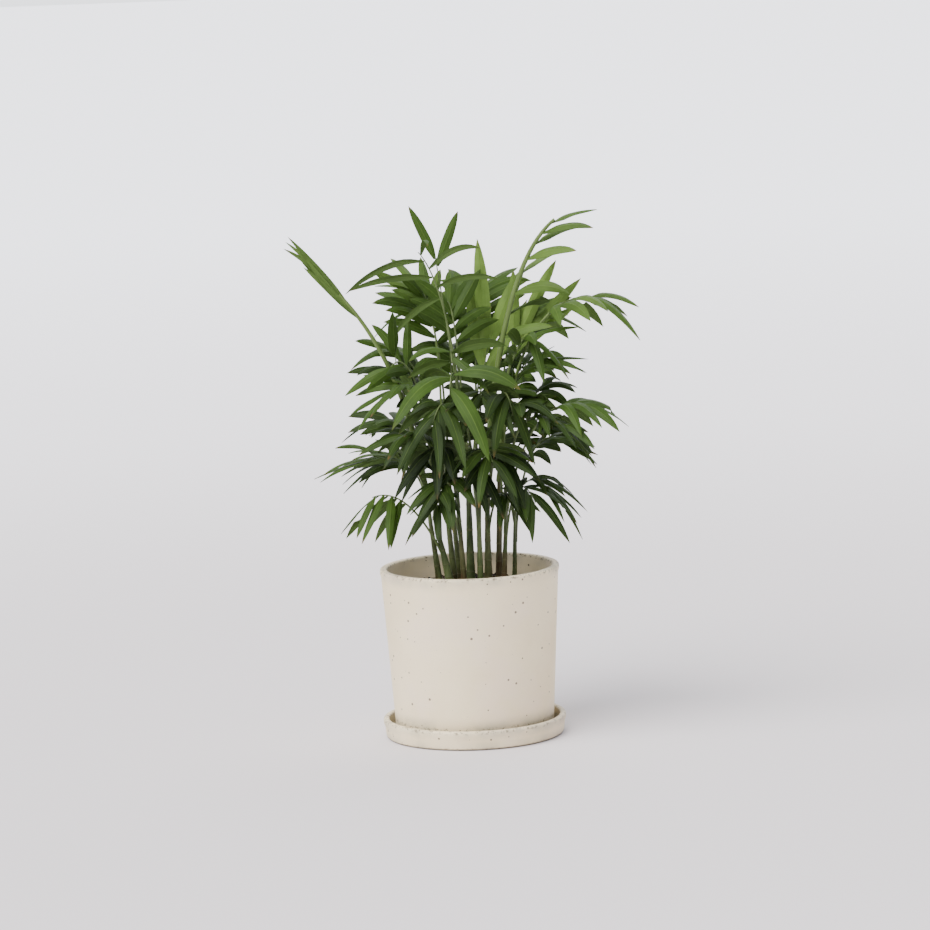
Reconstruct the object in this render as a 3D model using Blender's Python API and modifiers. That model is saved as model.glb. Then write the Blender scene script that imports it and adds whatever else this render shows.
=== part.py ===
"""Parlor palm in a stoneware pot that stands in its saucer.

Each leafy stem is one grown piece: a stem that stands in a plain hole in the soil, the fronds
that leave it, and the leaflets of each frond. Places in the tables are millimetres. The origin is
the middle of the saucer's underside, +Z is up, and the front of the plant looks along -Y.
"""

import math
import random
from typing import NamedTuple

import bmesh
import bpy
from mathutils import Matrix, Vector
from mathutils.bvhtree import BVHTree

MM = 0.001
UP = Vector((0.0, 0.0, 1.0))
GAP = 0.3 * MM
TURNED_STEPS = 40

# Saucer and pot
SAUCER_RADIUS = 84.3 * MM
SAUCER_FOOT_RADIUS = 82.1 * MM
SAUCER_HEIGHT = 18.0 * MM
SAUCER_FLOOR = 6.0 * MM
SAUCER_WALL = 5.5 * MM
POT_TOP = 157.0 * MM
POT_RIM_RADIUS = 82.5 * MM
POT_FOOT_RADIUS = 72.8 * MM
POT_WALL = 6.0 * MM
POT_FLOOR = 8.0 * MM
DRAIN_RADIUS = 7.0 * MM
EDGE_ROUND = 1.8 * MM
LIP_HEIGHT = 4.5 * MM
LIP_PROUD = 0.5 * MM
POT_UNDERSIDE = SAUCER_FLOOR + GAP

# Soil, and the holes that the stems stand in
SOIL_TOP = 138.0 * MM
SOIL_FLAT_RADIUS = 50.0 * MM
SOIL_FALL = 1.6 * MM
HOLE_DEPTH = 24.0 * MM
HOLE_PLAY = 0.6 * MM
HOLE_SIDES = 10

# Stems and rachises
STEM_TOP_RADIUS = 1.5 * MM
STEM_POINTS = 5
PETIOLE_RADIUS = 1.15 * MM
RACHIS_TIP_RADIUS = 0.65 * MM
PETIOLE_STEPS = 4
FIRST_FROND_LEAVES = 0.5
LAST_FROND_LEAVES = 0.96

# Leaflets: the share of the length, of half the width and of the thickness at each ring
BLADE_RINGS = ((0.3, 1.0, 0.9), (0.66, 0.76, 0.75))
BLADE_THICKNESS = 1.3 * MM
BLADE_FOLD = 0.13
TIP_SPREAD = 0.5
SICKLE = 0.06

# How pieces are kept apart. A frond's knee shifts by millimetres. A leaflet turns its spread and
# its lift by degrees and takes a share of its length. The first that touches nothing is taken.
CLEARANCE = 0.3 * MM
KNEE_SHIFTS = ((0, 0, 0), (0, 7, 0), (0, -7, 0), (7, 0, 0), (-7, 0, 0), (0, 14, 0), (0, -14, 0),
               (10, 10, 0), (-10, -10, 0), (10, -10, 0), (-10, 10, 0), (0, 22, 0), (0, -22, 0))
BENDS = ((0, 0, 1.0), (0, 9, 1.0), (0, -9, 1.0), (8, 0, 1.0), (-8, 0, 1.0), (0, 18, 1.0),
         (0, -18, 1.0), (-9, 14, 0.92), (9, -14, 0.92), (-12, -24, 0.86), (12, 26, 0.86),
         (0, 0, 0.72), (0, 30, 0.72), (0, -30, 0.72), (14, 10, 0.6), (-14, -10, 0.6))


class Frond(NamedTuple):
    """One frond, whose rachis passes its knee halfway and ends at its tip.

    Length and width are those of its longest leaflets. They leave the rachis by the spread and
    rise from its plane by the lift, in degrees, and they hang by the droop, a share of their
    length. The plane is rolled about the rachis, which has no leaflets along its bare share.
    """

    knee: tuple
    tip: tuple
    length: float = 52.0
    width: float = 10.5
    spread: float = 62.0
    lift: float = 8.0
    roll: float = 0.0
    droop: float = 0.45
    pairs: int = 6
    bare: float = 0.5


class Stem(NamedTuple):
    """One leafy stem: where it stands, its radius there, where it ends and its fronds."""

    name: str
    foot: tuple
    girth: float
    crown: tuple
    fronds: tuple


STEMS = (
    Stem("palm_01", (-17, -9), 3.8, (-31, -10, 205), (
        Frond((-54, -23, 218), (-86, -34, 228), length=50, width=8.5, spread=88, lift=-40, droop=0.34,
              pairs=4),
        Frond((-30, -26, 266), (-56, -44, 284), length=46, droop=0.5, pairs=5),
        Frond((-36, -15, 312), (-76, -28, 316), length=48, width=11, spread=62, droop=0.3),
    )),
    Stem("palm_02", (-14, 12), 3.0, (-22, 14, 250), (
        Frond((-34, 26, 290), (-62, 40, 334), length=56, droop=0.3),
        Frond((-44, 2, 330), (-70, -8, 335), length=50, width=9.5, spread=62, roll=-60, droop=0.22,
              pairs=5),
        Frond((-52, 2, 310), (-60, -6, 355), length=58, width=14, spread=20, lift=4, roll=-105,
              droop=0.03, pairs=2, bare=0.72),
        Frond((-24, 38, 370), (-42, 46, 410), length=54, width=10, spread=50, droop=0.16, bare=0.6),
    )),
    Stem("palm_03", (-5, -17), 2.6, (-9, -20, 232), (
        Frond((-16, -30, 222), (-28, -50, 220), length=34, width=8.5, droop=0.6, pairs=4),
        Frond((-12, -34, 240), (-26, -66, 234), length=40, spread=66, droop=0.5, pairs=4),
        Frond((-18, -26, 266), (-32, -44, 264), length=46, width=12, spread=70, droop=0.8, pairs=4),
        Frond((-14, -42, 304), (-28, -70, 298), length=46, width=12, spread=72, droop=0.75, pairs=5),
        Frond((-10, -36, 344), (-9, -60, 351), length=54, width=10, spread=104, lift=26, droop=0.3,
              pairs=2),
    )),
    Stem("palm_04", (1, 0), 3.8, (2, 4, 270), (
        Frond((3, -24, 250), (4, -46, 250), length=44, width=11, spread=70, droop=0.7, pairs=4),
        Frond((-2, -14, 268), (-6, -34, 298), length=48, width=11, droop=0.6, pairs=5),
        Frond((14, 32, 300), (26, 44, 362), length=102, width=14.5, spread=21, lift=0, roll=25, droop=0.02,
              pairs=3, bare=0.66),
        Frond((-4, 22, 358), (-12, 38, 398), length=60, width=11, spread=50, droop=0.2),
        Frond((-12, 2, 380), (-36, -16, 448), length=72, width=6.5, spread=96, lift=4, roll=45,
              droop=0.42, pairs=3, bare=0.6),
        Frond((-11, 8, 366), (-21, 6, 443), length=64, width=10, spread=30, lift=0, roll=-90,
              droop=0, pairs=1, bare=0.9),
    )),
    Stem("palm_05", (10, -23), 2.6, (10, -28, 240), (
        Frond((16, -46, 262), (24, -76, 262), length=42, spread=66, droop=0.55, pairs=4),
        Frond((15, -38, 304), (16, -60, 318), length=44, width=11, spread=70, droop=0.75, pairs=4),
        Frond((32, -38, 290), (52, -62, 312), length=46, droop=0.5, pairs=5),
        Frond((-5, -66, 334), (-12, -93, 325), length=70, width=15, spread=98, lift=28, droop=0.46,
              pairs=2),
    )),
    Stem("palm_06", (17, -8), 3.4, (19, -9, 250), (
        Frond((28, -28, 224), (40, -50, 222), length=34, width=8.5, droop=0.6, pairs=4),
        Frond((32, -42, 310), (44, -68, 302), length=48, width=12, spread=68, droop=0.75, pairs=5),
        Frond((44, -16, 340), (66, -28, 364), length=48, droop=0.42),
        Frond((20, -30, 262), (28, -54, 258), length=46, width=12, spread=70, droop=0.8, pairs=4),
        Frond((46, 2, 396), (89, 6, 472), length=64, width=9.5, spread=60, lift=-40, droop=0.26,
              pairs=4, bare=0.34),
    )),
    Stem("palm_07", (27, 6), 3.0, (30, 9, 238), (
        Frond((50, 22, 280), (80, 32, 318), length=50),
        Frond((40, 34, 320), (59, 40, 362), length=84, width=11.5, spread=30, lift=2, roll=75, droop=0.05,
              pairs=3, bare=0.7),
        Frond((62, -4, 362), (121, -14, 402), length=60, width=9.5, spread=62, droop=0.6),
    )),
    Stem("palm_08", (31, -11), 2.4, (36, -14, 212), (
        Frond((45, -32, 229), (62, -50, 220), length=38, width=8.5, droop=0.5, pairs=4),
        Frond((50, -36, 286), (94, -54, 286), length=46, width=9.5, lift=14, droop=0.55, pairs=5),
        Frond((66, -26, 288), (110, -36, 306), length=54, width=10.5, spread=64, lift=12, droop=0.6,
              pairs=5),
    )),
    Stem("palm_09", (41, 4), 2.0, (44, 4, 196), (
        Frond((50, -6, 228), (76, -16, 226), length=44, width=7, lift=22, droop=0.6),
        Frond((60, 16, 254), (90, 24, 268), length=44, width=9),
        Frond((40, 8, 306), (82, -6, 344), length=46, width=8, spread=50, lift=4, droop=0.3),
    )),
    Stem("palm_10", (-9, 30), 2.6, (-16, 36, 236), (
        Frond((-20, 44, 232), (-44, 60, 262), length=46, pairs=5),
        Frond((-42, 50, 264), (-72, 72, 286)),
        Frond((-38, 46, 320), (-66, 58, 354)),
        Frond((-22, 56, 354), (-38, 82, 390), length=60, width=11, spread=56, droop=0.3),
    )),
    Stem("palm_11", (10, 28), 2.6, (10, 34, 226), (
        Frond((16, 44, 236), (34, 62, 268), length=46, pairs=5),
        Frond((2, 62, 264), (-8, 98, 282)),
        Frond((12, 40, 300), (22, 58, 336), length=48, pairs=5),
        Frond((-2, 56, 320), (-10, 84, 354)),
        Frond((14, 60, 364), (20, 94, 404), length=60, width=11, spread=56, droop=0.3),
    )),
    Stem("palm_12", (27, 26), 2.4, (32, 32, 222), (
        Frond((50, 50, 260), (84, 68, 276)),
        Frond((42, 48, 304), (70, 66, 338)),
        Frond((42, 48, 348), (70, 70, 382), length=58, spread=56, droop=0.3),
    )),
    Stem("palm_13", (-28, 18), 2.8, (-38, 20, 224), (
        Frond((-46, 36, 238), (-78, 52, 250), length=50),
        Frond((-50, 8, 251), (-93, 2, 257), length=58, width=10.5, spread=54, lift=14, roll=10,
              droop=0.18),
        Frond((-62, 15, 328), (-110, 12, 410), length=92, width=6, spread=3, lift=0, roll=90,
              droop=0, pairs=1, bare=0.8),
    )),
)


def clear_scene():
    """Removes whatever the file opened with."""
    for item in list(bpy.data.objects):
        bpy.data.objects.remove(item, do_unlink=True)


def collection_named(name, hidden=False):
    """A collection of the scene. A hidden one holds cutters, which no render shows."""
    made = bpy.data.collections.new(name)
    bpy.context.scene.collection.children.link(made)
    made.hide_render = hidden
    return made


def material_named(name, colour, roughness):
    """A plain non-metal surface."""
    made = bpy.data.materials.new(name)
    made.use_nodes = True
    shader = made.node_tree.nodes["Principled BSDF"]
    shader.inputs["Base Color"].default_value = (*colour, 1.0)
    shader.inputs["Roughness"].default_value = roughness
    shader.inputs["Metallic"].default_value = 0.0
    return made


def object_from(name, mesh, collection, material):
    """An object that shows this mesh."""
    made = bpy.data.objects.new(name, mesh)
    collection.objects.link(made)
    mesh.materials.clear()
    mesh.materials.append(material)
    return made


def apply_modifiers(item):
    """Replaces an object's mesh by what its modifiers make of it, with round faces smooth."""
    graph = bpy.context.evaluated_depsgraph_get()
    shaped = bpy.data.meshes.new_from_object(item.evaluated_get(graph))
    item.modifiers.clear()
    item.data = shaped
    shaped.shade_smooth()
    shaped.set_sharp_from_angle(angle=math.radians(35))


def turned(name, profile, collection, material):
    """A body turned round Z from (radius, height) points that run down its outer side.

    A profile that starts and ends on the axis gives a solid, and any other is closed to a ring.
    """
    count = len(profile)
    on_axis = profile[0][0] == 0.0
    edges = [(i, (i + 1) % count) for i in range(count - 1 if on_axis else count)]
    mesh = bpy.data.meshes.new(name)
    mesh.from_pydata([(radius, 0.0, height) for radius, height in profile], edges, [])
    item = object_from(name, mesh, collection, material)
    screw = item.modifiers.new("Turn", "SCREW")
    screw.axis = "Z"
    screw.steps = screw.render_steps = TURNED_STEPS
    screw.use_merge_vertices = True
    screw.merge_threshold = 0.00005
    apply_modifiers(item)
    return item


def pot_wall_radius(height):
    """Outer radius of the pot's straight wall at a height."""
    share = (height - POT_UNDERSIDE) / (POT_TOP - POT_UNDERSIDE)
    return POT_FOOT_RADIUS + (POT_RIM_RADIUS - LIP_PROUD - POT_FOOT_RADIUS) * share


def make_saucer(collection, material):
    """The saucer: a flat floor and a low wall that ends in a lip with a rounded edge."""
    inner = SAUCER_RADIUS - SAUCER_WALL
    lip_foot = SAUCER_HEIGHT - LIP_HEIGHT
    profile = (
        (0.0, SAUCER_FLOOR),
        (inner - 2.0 * MM, SAUCER_FLOOR),
        (inner, SAUCER_FLOOR + 2.0 * MM),
        (inner + 0.4 * MM, SAUCER_HEIGHT - 1.0 * MM),
        (SAUCER_RADIUS - EDGE_ROUND, SAUCER_HEIGHT),
        (SAUCER_RADIUS, SAUCER_HEIGHT - EDGE_ROUND),
        (SAUCER_RADIUS, lip_foot),
        (SAUCER_RADIUS - LIP_PROUD, lip_foot - LIP_PROUD),
        (SAUCER_FOOT_RADIUS, EDGE_ROUND),
        (SAUCER_FOOT_RADIUS - EDGE_ROUND, 0.0),
        (0.0, 0.0),
    )
    return turned("saucer", profile, collection, material)


def make_pot(collection, material):
    """The pot: a tapered wall, a rounded lip that stands a little proud, and a drain hole."""
    lip_foot = POT_TOP - LIP_HEIGHT
    floor_top = POT_UNDERSIDE + POT_FLOOR
    profile = (
        (POT_RIM_RADIUS - EDGE_ROUND, POT_TOP),
        (POT_RIM_RADIUS, POT_TOP - EDGE_ROUND),
        (POT_RIM_RADIUS, lip_foot),
        (pot_wall_radius(lip_foot - LIP_PROUD), lip_foot - LIP_PROUD),
        (POT_FOOT_RADIUS, POT_UNDERSIDE + EDGE_ROUND),
        (POT_FOOT_RADIUS - EDGE_ROUND, POT_UNDERSIDE),
        (DRAIN_RADIUS, POT_UNDERSIDE),
        (DRAIN_RADIUS, floor_top),
        (pot_wall_radius(floor_top) - POT_WALL, floor_top),
        (pot_wall_radius(POT_TOP) - POT_WALL, POT_TOP - 1.0 * MM),
    )
    return turned("pot", profile, collection, material)


def make_soil(collection, material, cutters):
    """The root ball that fills the pot, with a plain hole for each stem."""
    foot = POT_UNDERSIDE + POT_FLOOR + GAP
    edge = SOIL_TOP - SOIL_FALL
    profile = (
        (0.0, SOIL_TOP),
        (SOIL_FLAT_RADIUS, SOIL_TOP),
        (pot_wall_radius(edge) - POT_WALL - GAP, edge),
        (pot_wall_radius(foot) - POT_WALL - GAP, foot),
        (0.0, foot),
    )
    soil = turned("soil", profile, collection, material)
    for stem in STEMS:
        bpy.ops.mesh.primitive_cylinder_add(
            vertices=HOLE_SIDES, radius=stem.girth * MM + HOLE_PLAY, depth=2 * HOLE_DEPTH,
            location=(stem.foot[0] * MM, stem.foot[1] * MM, SOIL_TOP))
        cutter = bpy.context.object
        cutter.name = "hole_" + stem.name
        for owner in list(cutter.users_collection):
            owner.objects.unlink(cutter)
        cutters.objects.link(cutter)
        cutter.hide_render = True
        cutter.display_type = "WIRE"
    holes = soil.modifiers.new("Holes", "BOOLEAN")
    holes.operation = "DIFFERENCE"
    holes.operand_type = "COLLECTION"
    holes.collection = cutters
    return soil


def tree_of(mesh):
    """A search tree of a mesh, to test later pieces against."""
    corners = [vertex.co for vertex in mesh.vertices]
    return BVHTree.FromPolygons(corners, [tuple(face.vertices) for face in mesh.polygons])


def skin_tree(rings, swell=0.02 * MM):
    """A search tree of the closed skin through four-cornered rings, each swollen a little."""
    corners = []
    faces = []
    for number, ring in enumerate(rings):
        centre = sum(ring, Vector()) / 4
        for corner in ring:
            outward = corner - centre
            corners.append(corner + outward.normalized() * swell)
        base = 4 * number
        if number:
            faces += [(base + i - 4, base + (i + 1) % 4 - 4, base + (i + 1) % 4, base + i)
                      for i in range(4)]
    last = len(corners)
    faces += [(0, 1, 2, 3), (last - 4, last - 3, last - 2, last - 1)]
    return BVHTree.FromPolygons(corners, faces)


class Room:
    """What has been grown so far: each piece's name with its search tree."""

    def __init__(self):
        self.taken = []

    def take(self, name, tree):
        """Notes a piece that later ones keep clear of."""
        self.taken.append((name, tree))

    def is_free(self, tree, skipped):
        """Whether a piece touches none of the others, apart from those skipped."""
        return not any(tree.overlap(other) for name, other in self.taken if name not in skipped)


def bezier(points, share):
    """A point on the curve with these control points."""
    while len(points) > 1:
        points = [a.lerp(b, share) for a, b in zip(points, points[1:])]
    return points[0]


def along_stem(stem, share):
    """A point on the stem above the soil, which leaves its hole upright and bends to its crown."""
    surface = Vector((*stem.foot, 0.0)) * MM + UP * SOIL_TOP
    crown = Vector(stem.crown) * MM
    return bezier([surface, surface.lerp(crown, 0.3) + UP * 3 * MM, crown], share)


def make_stem(stem, collection, material):
    """The bare stem, as a tapered tube that starts in its hole."""
    points = [along_stem(stem, i / (STEM_POINTS - 1)) for i in range(STEM_POINTS)]
    girth = stem.girth * MM
    radii = [girth + (STEM_TOP_RADIUS - girth) * i / (STEM_POINTS - 1) for i in range(STEM_POINTS)]
    bottom = points[0] - UP * (HOLE_DEPTH - GAP)
    curve = bpy.data.curves.new(stem.name, "CURVE")
    curve.dimensions = "3D"
    curve.bevel_depth = 1.0
    curve.bevel_resolution = 1
    curve.use_fill_caps = True
    spline = curve.splines.new("POLY")
    spline.points.add(STEM_POINTS)
    for place, point, radius in zip(spline.points, [bottom] + points, [girth] + radii):
        place.co = (*point, 1.0)
        place.radius = radius
    route = bpy.data.objects.new(stem.name, curve)
    collection.objects.link(route)
    graph = bpy.context.evaluated_depsgraph_get()
    mesh = bpy.data.meshes.new_from_object(route.evaluated_get(graph))
    bpy.data.objects.remove(route)
    shell = bmesh.new()
    shell.from_mesh(mesh)
    bmesh.ops.remove_doubles(shell, verts=shell.verts, dist=0.00001)
    bmesh.ops.recalc_face_normals(shell, faces=shell.faces)
    shell.to_mesh(mesh)
    shell.free()
    return object_from(stem.name, mesh, collection, material)


def frond_route(stem, order, shift):
    """Control points of a frond's curve, which is halfway along at its knee."""
    frond = stem.fronds[order]
    rise = (LAST_FROND_LEAVES - FIRST_FROND_LEAVES) / (len(stem.fronds) - 1)
    start = along_stem(stem, FIRST_FROND_LEAVES + rise * order)
    knee = (Vector(frond.knee) + Vector(shift)) * MM
    tip = Vector(frond.tip) * MM
    return [start, 2 * knee - (start + tip) / 2, tip]


def frond_axes(route, share, roll):
    """Unit vectors along the rachis, to its right, and out of the frond's upper face."""
    along = (bezier(route, share + 0.01) - bezier(route, share - 0.01)).normalized()
    outward = route[-1] - route[0]
    outward.z = 0.0
    upper = UP - outward.normalized() * 0.3
    upper = (upper - along * upper.dot(along)).normalized()
    upper = Matrix.Rotation(math.radians(roll), 3, along) @ upper
    return along, along.cross(upper), upper


def rachis_shares(frond):
    """Where the rings of a frond's petiole and rachis lie. Each leaflet fills one step."""
    petiole = [frond.bare * i / PETIOLE_STEPS for i in range(PETIOLE_STEPS)]
    steps = 2 * frond.pairs
    return petiole + [frond.bare + (1.0 - frond.bare) * i / steps for i in range(steps + 1)]


def rachis_ring(route, share, roll):
    """Corners round the rachis: low left, high left, high right and low right."""
    _, right, upper = frond_axes(route, share, roll)
    half = 0.8 * (PETIOLE_RADIUS + (RACHIS_TIP_RADIUS - PETIOLE_RADIUS) * share)
    centre = bezier(route, share)
    return [centre + half * (right * across + upper * rise)
            for across, rise in ((-1, -1), (-1, 1), (1, 1), (1, -1))]


def leaflet_rings(stem, order, route, number, bend):
    """Rings of one leaflet, from its root on the rachis to its tip.

    Even numbers grow on the right of the rachis and odd ones on the left. A ring holds the edge
    nearer the petiole, the midrib's top, the far edge and the midrib's underside.
    """
    frond = stem.fronds[order]
    draw = random.Random(f"{stem.name}/{order}/{number}")
    jitter = [draw.uniform(-1.0, 1.0) for _ in range(4)]
    side = 1 if number % 2 == 0 else -1
    step = number / (2 * frond.pairs - 1)
    low, high = rachis_shares(frond)[PETIOLE_STEPS + number:][:2]
    along, right, upper = frond_axes(route, (low + high) / 2, frond.roll)
    loose = min(1.0, frond.spread / 60)
    spread = frond.spread * (1.0 - (1.0 - TIP_SPREAD) * step) + 8 * loose * jitter[0] + bend[0]
    lift = math.radians(frond.lift + 11 * loose * jitter[1] + bend[1])
    outward = right * (side * math.cos(lift)) + upper * math.sin(lift)
    heading = along * math.cos(math.radians(spread)) + outward * math.sin(math.radians(spread))
    middle = math.sin(math.pi * (0.2 + 0.65 * step))
    length = frond.length * MM * (0.6 + 0.4 * middle) * (1.0 + 0.1 * jitter[2]) * bend[2]
    width = frond.width * MM * (0.75 + 0.25 * middle)
    droop = frond.droop * (1.0 + 0.4 * jitter[3])
    corners = rachis_ring(route, low, frond.roll) + rachis_ring(route, high, frond.roll)
    root = [corners[i] for i in ((3, 2, 6, 7) if side > 0 else (0, 1, 5, 4))]
    start = sum(root, Vector()) / 4
    rings = [root]
    for reach, wide, thick in BLADE_RINGS:
        bow = along * SICKLE - UP * droop
        centre = start + length * (heading * reach + bow * reach ** 2)
        facing = (heading + 2 * reach * bow).normalized()
        far = side * upper.cross(facing).normalized()
        normal = side * facing.cross(far)
        edge = far * (wide * width / 2)
        fall = normal * (BLADE_FOLD * wide * width)
        rise = normal * (thick * BLADE_THICKNESS / 2)
        rings.append([centre - edge - fall, centre + rise, centre + edge - fall, centre - rise])
    rings.append([start + length * (heading + along * SICKLE - UP * droop)] * 4)
    return rings


def plan_leaflets(stem, order, route, room):
    """The rings of each leaflet of a frond, bent or shortened to clear the rest, or None."""
    rachis = f"{stem.name}/{order}"
    own = dict(room.taken)[rachis]
    plan = []
    for number in range(2 * stem.fronds[order].pairs):
        for bend in BENDS:
            rings = leaflet_rings(stem, order, route, number, bend)
            if (room.is_free(skin_tree(rings, CLEARANCE), {rachis})
                    and not skin_tree(rings[1:], CLEARANCE).overlap(own)):
                room.take(f"{rachis}/{number}", skin_tree(rings))
                plan.append(rings)
                break
        else:
            plan.append(None)
    return plan


def ring_order(face, ring):
    """For each corner of a face, the number of the ring's corner that it lies on."""
    return [min(range(4), key=lambda place: (corner.co - ring[place]).length)
            for corner in face.verts]


def grow(shell, face, ring, order):
    """Extrudes a face to a ring and returns the new face."""
    face = bmesh.ops.extrude_discrete_faces(shell, faces=[face])["faces"][0]
    for corner, place in zip(face.verts, order):
        corner.co = ring[place]
    return face


def side_face(face_corners, next_corners):
    """The face that has these corners of one ring and of the next."""
    wanted = set(face_corners + next_corners)
    return next(face for face in face_corners[0].link_faces if set(face.verts) == wanted)


def grow_leaflet(shell, face, rings):
    """Grows a leaflet from a side face of the rachis.

    Upper and lower sides are split along like diagonals, so that a waved blade never crosses
    itself.
    """
    order = ring_order(face, rings[0])
    for ring in rings[1:-1]:
        old = dict(zip(order, face.verts))
        face = grow(shell, face, ring, order)
        new = dict(zip(order, face.verts))
        for edge, middle in ((0, 1), (2, 1), (2, 3), (0, 3)):
            corner, opposite = old[edge], new[middle]
            quad = next(f for f in corner.link_faces if opposite in f.verts)
            bmesh.utils.face_split(quad, corner, opposite)
    bmesh.ops.poke(shell, faces=[face])["verts"][0].co = rings[-1][0]


def grow_frond(stem, order, route, plan, collection, material):
    """A frond as one closed body: its rachis, extruded ring by ring, and then its leaflets."""
    frond = stem.fronds[order]
    rings = [rachis_ring(route, share, frond.roll) for share in rachis_shares(frond)]
    shell = bmesh.new()
    bmesh.ops.create_cube(shell, size=1.0)
    shell.faces.ensure_lookup_table()
    square = [Vector((x, y, 0.0)) for x, y in ((-0.5, -0.5), (-0.5, 0.5), (0.5, 0.5), (0.5, -0.5))]
    foot = min(shell.faces, key=lambda side: side.calc_center_median().z)
    face = max(shell.faces, key=lambda side: side.calc_center_median().z)
    foot_order = ring_order(foot, square)
    order = ring_order(face, square)
    for corner, place in zip(foot.verts, foot_order):
        corner.co = rings[0][place]
    for corner, place in zip(face.verts, order):
        corner.co = rings[1][place]
    sides = []
    for number, ring in enumerate(rings[2:], start=2 - PETIOLE_STEPS - 1):
        old = dict(zip(order, face.verts))
        face = grow(shell, face, ring, order)
        new = dict(zip(order, face.verts))
        if number >= 0:
            near, far = (3, 2) if number % 2 == 0 else (0, 1)
            sides.append(side_face([old[near], old[far]], [new[near], new[far]]))
    for side, leaflet in zip(sides, plan):
        if leaflet:
            grow_leaflet(shell, side, leaflet)
    bmesh.ops.recalc_face_normals(shell, faces=shell.faces)
    mesh = bpy.data.meshes.new(f"{stem.name}_frond_{order}")
    shell.to_mesh(mesh)
    shell.free()
    return object_from(mesh.name, mesh, collection, material)


def join(stem_body, fronds):
    """Joins a stem and its fronds in one body and removes the fronds' own objects."""
    group = collection_named(stem_body.name + "_fronds", hidden=True)
    for frond in fronds:
        frond.users_collection[0].objects.unlink(frond)
        group.objects.link(frond)
    union = stem_body.modifiers.new("Grown together", "BOOLEAN")
    union.operation = "UNION"
    union.operand_type = "COLLECTION"
    union.collection = group
    apply_modifiers(stem_body)
    for frond in fronds:
        bpy.data.objects.remove(frond)
    bpy.data.collections.remove(group)


def place_fronds(stem, room):
    """Curves of a stem's fronds, each with its knee shifted clear of the other stems' pieces."""
    own = {stem.name} | {f"{stem.name}/{order}" for order in range(len(stem.fronds))}
    routes = []
    for order, frond in enumerate(stem.fronds):
        for shift in KNEE_SHIFTS:
            route = frond_route(stem, order, shift)
            rings = [rachis_ring(route, share, frond.roll) for share in rachis_shares(frond)]
            if room.is_free(skin_tree(rings, CLEARANCE), own):
                break
        else:
            raise ValueError(f"frond {order} of {stem.name} crosses another stem's piece")
        room.take(f"{stem.name}/{order}", skin_tree(rings))
        routes.append(route)
    return routes


def make_palms(collection, material, room):
    """Every leafy stem: first the stems, then the rachises, then the leaflets between them."""
    stems = [make_stem(stem, collection, material) for stem in STEMS]
    for stem, body in zip(STEMS, stems):
        room.take(stem.name, tree_of(body.data))
    routes = [place_fronds(stem, room) for stem in STEMS]
    for stem, body, curves in zip(STEMS, stems, routes):
        fronds = []
        for order, route in enumerate(curves):
            plan = plan_leaflets(stem, order, route, room)
            fronds.append(grow_frond(stem, order, route, plan, collection, material))
        join(body, fronds)


def main():
    """Builds the potted palm."""
    clear_scene()
    palm = collection_named("potted_parlor_palm")
    cutters = collection_named("cutters", hidden=True)
    stoneware = material_named("stoneware", (0.67, 0.62, 0.55), 0.62)
    make_saucer(palm, stoneware)
    pot = make_pot(palm, stoneware)
    soil = make_soil(palm, material_named("soil", (0.035, 0.022, 0.015), 0.95), cutters)
    room = Room()
    room.take("pot", tree_of(pot.data))
    room.take("soil", tree_of(soil.data))
    make_palms(palm, material_named("leaf", (0.06, 0.16, 0.03), 0.45), room)


if __name__ == "__main__":
    main()
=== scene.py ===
"""Looks of a parlor palm in a cream stoneware pot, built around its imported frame.

The frame gives every solid and its place. Here each one is replaced by a finer piece of the same
form: a thrown saucer and pot, crumbly soil, and for each leafy stem its cane, its petioles and
its leaflets. A leaflet, a petiole and a cane are each modelled once, and every copy is draped on
its own route. Sizes are metres unless a name or a comment says otherwise. +Z is up, and the
camera looks along +Y.
"""

import logging
import math
import random
from dataclasses import dataclass, field
from enum import Enum
from typing import Any, Callable, Sequence

import bmesh
import bpy
import numpy as np
from bpy.types import Material, Node, NodeSocket, Object, World
from mathutils import Matrix, Vector
from mathutils.kdtree import KDTree


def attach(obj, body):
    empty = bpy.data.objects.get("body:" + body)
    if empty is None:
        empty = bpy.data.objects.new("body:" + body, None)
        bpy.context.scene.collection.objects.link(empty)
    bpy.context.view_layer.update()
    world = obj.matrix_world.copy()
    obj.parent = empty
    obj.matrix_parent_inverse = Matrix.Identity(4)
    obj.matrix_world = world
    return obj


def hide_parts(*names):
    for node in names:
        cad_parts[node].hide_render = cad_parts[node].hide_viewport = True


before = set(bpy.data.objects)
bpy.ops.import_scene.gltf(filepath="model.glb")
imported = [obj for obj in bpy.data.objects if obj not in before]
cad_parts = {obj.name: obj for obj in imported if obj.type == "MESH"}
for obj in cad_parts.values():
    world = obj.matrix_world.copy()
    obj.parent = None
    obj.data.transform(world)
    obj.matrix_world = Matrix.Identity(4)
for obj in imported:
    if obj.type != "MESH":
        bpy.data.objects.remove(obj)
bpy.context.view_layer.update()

log = logging.getLogger("palm")

MM = 0.001
BODY = "root"
UP = np.array((0.0, 0.0, 1.0))
ON_LEVEL = 0.01 * MM
FACES_UP = 0.9

Place = tuple[float, float, float]
Colour = tuple[float, float, float]
Shape = Callable[[np.ndarray], np.ndarray]


# Working on meshes by hand, as in edit mode


def select_only(piece: Object) -> None:
    """Leaves one object selected and active.

    Args:
        piece: The object that the next operators work on.
    """
    bpy.ops.object.select_all(action="DESELECT")
    piece.select_set(True)
    bpy.context.view_layer.objects.active = piece


def open_for_edit(piece: Object, everything: bool = False) -> None:
    """Opens an object in edit mode, with everything selected or nothing.

    Args:
        piece: The object to edit.
        everything: Whether all of it is selected.
    """
    select_only(piece)
    bpy.ops.object.mode_set(mode="EDIT")
    bpy.ops.mesh.select_mode(type="VERT")
    bpy.ops.mesh.select_all(action="SELECT" if everything else "DESELECT")


def close_edit() -> None:
    """Leaves edit mode."""
    bpy.ops.object.mode_set(mode="OBJECT")


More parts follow.
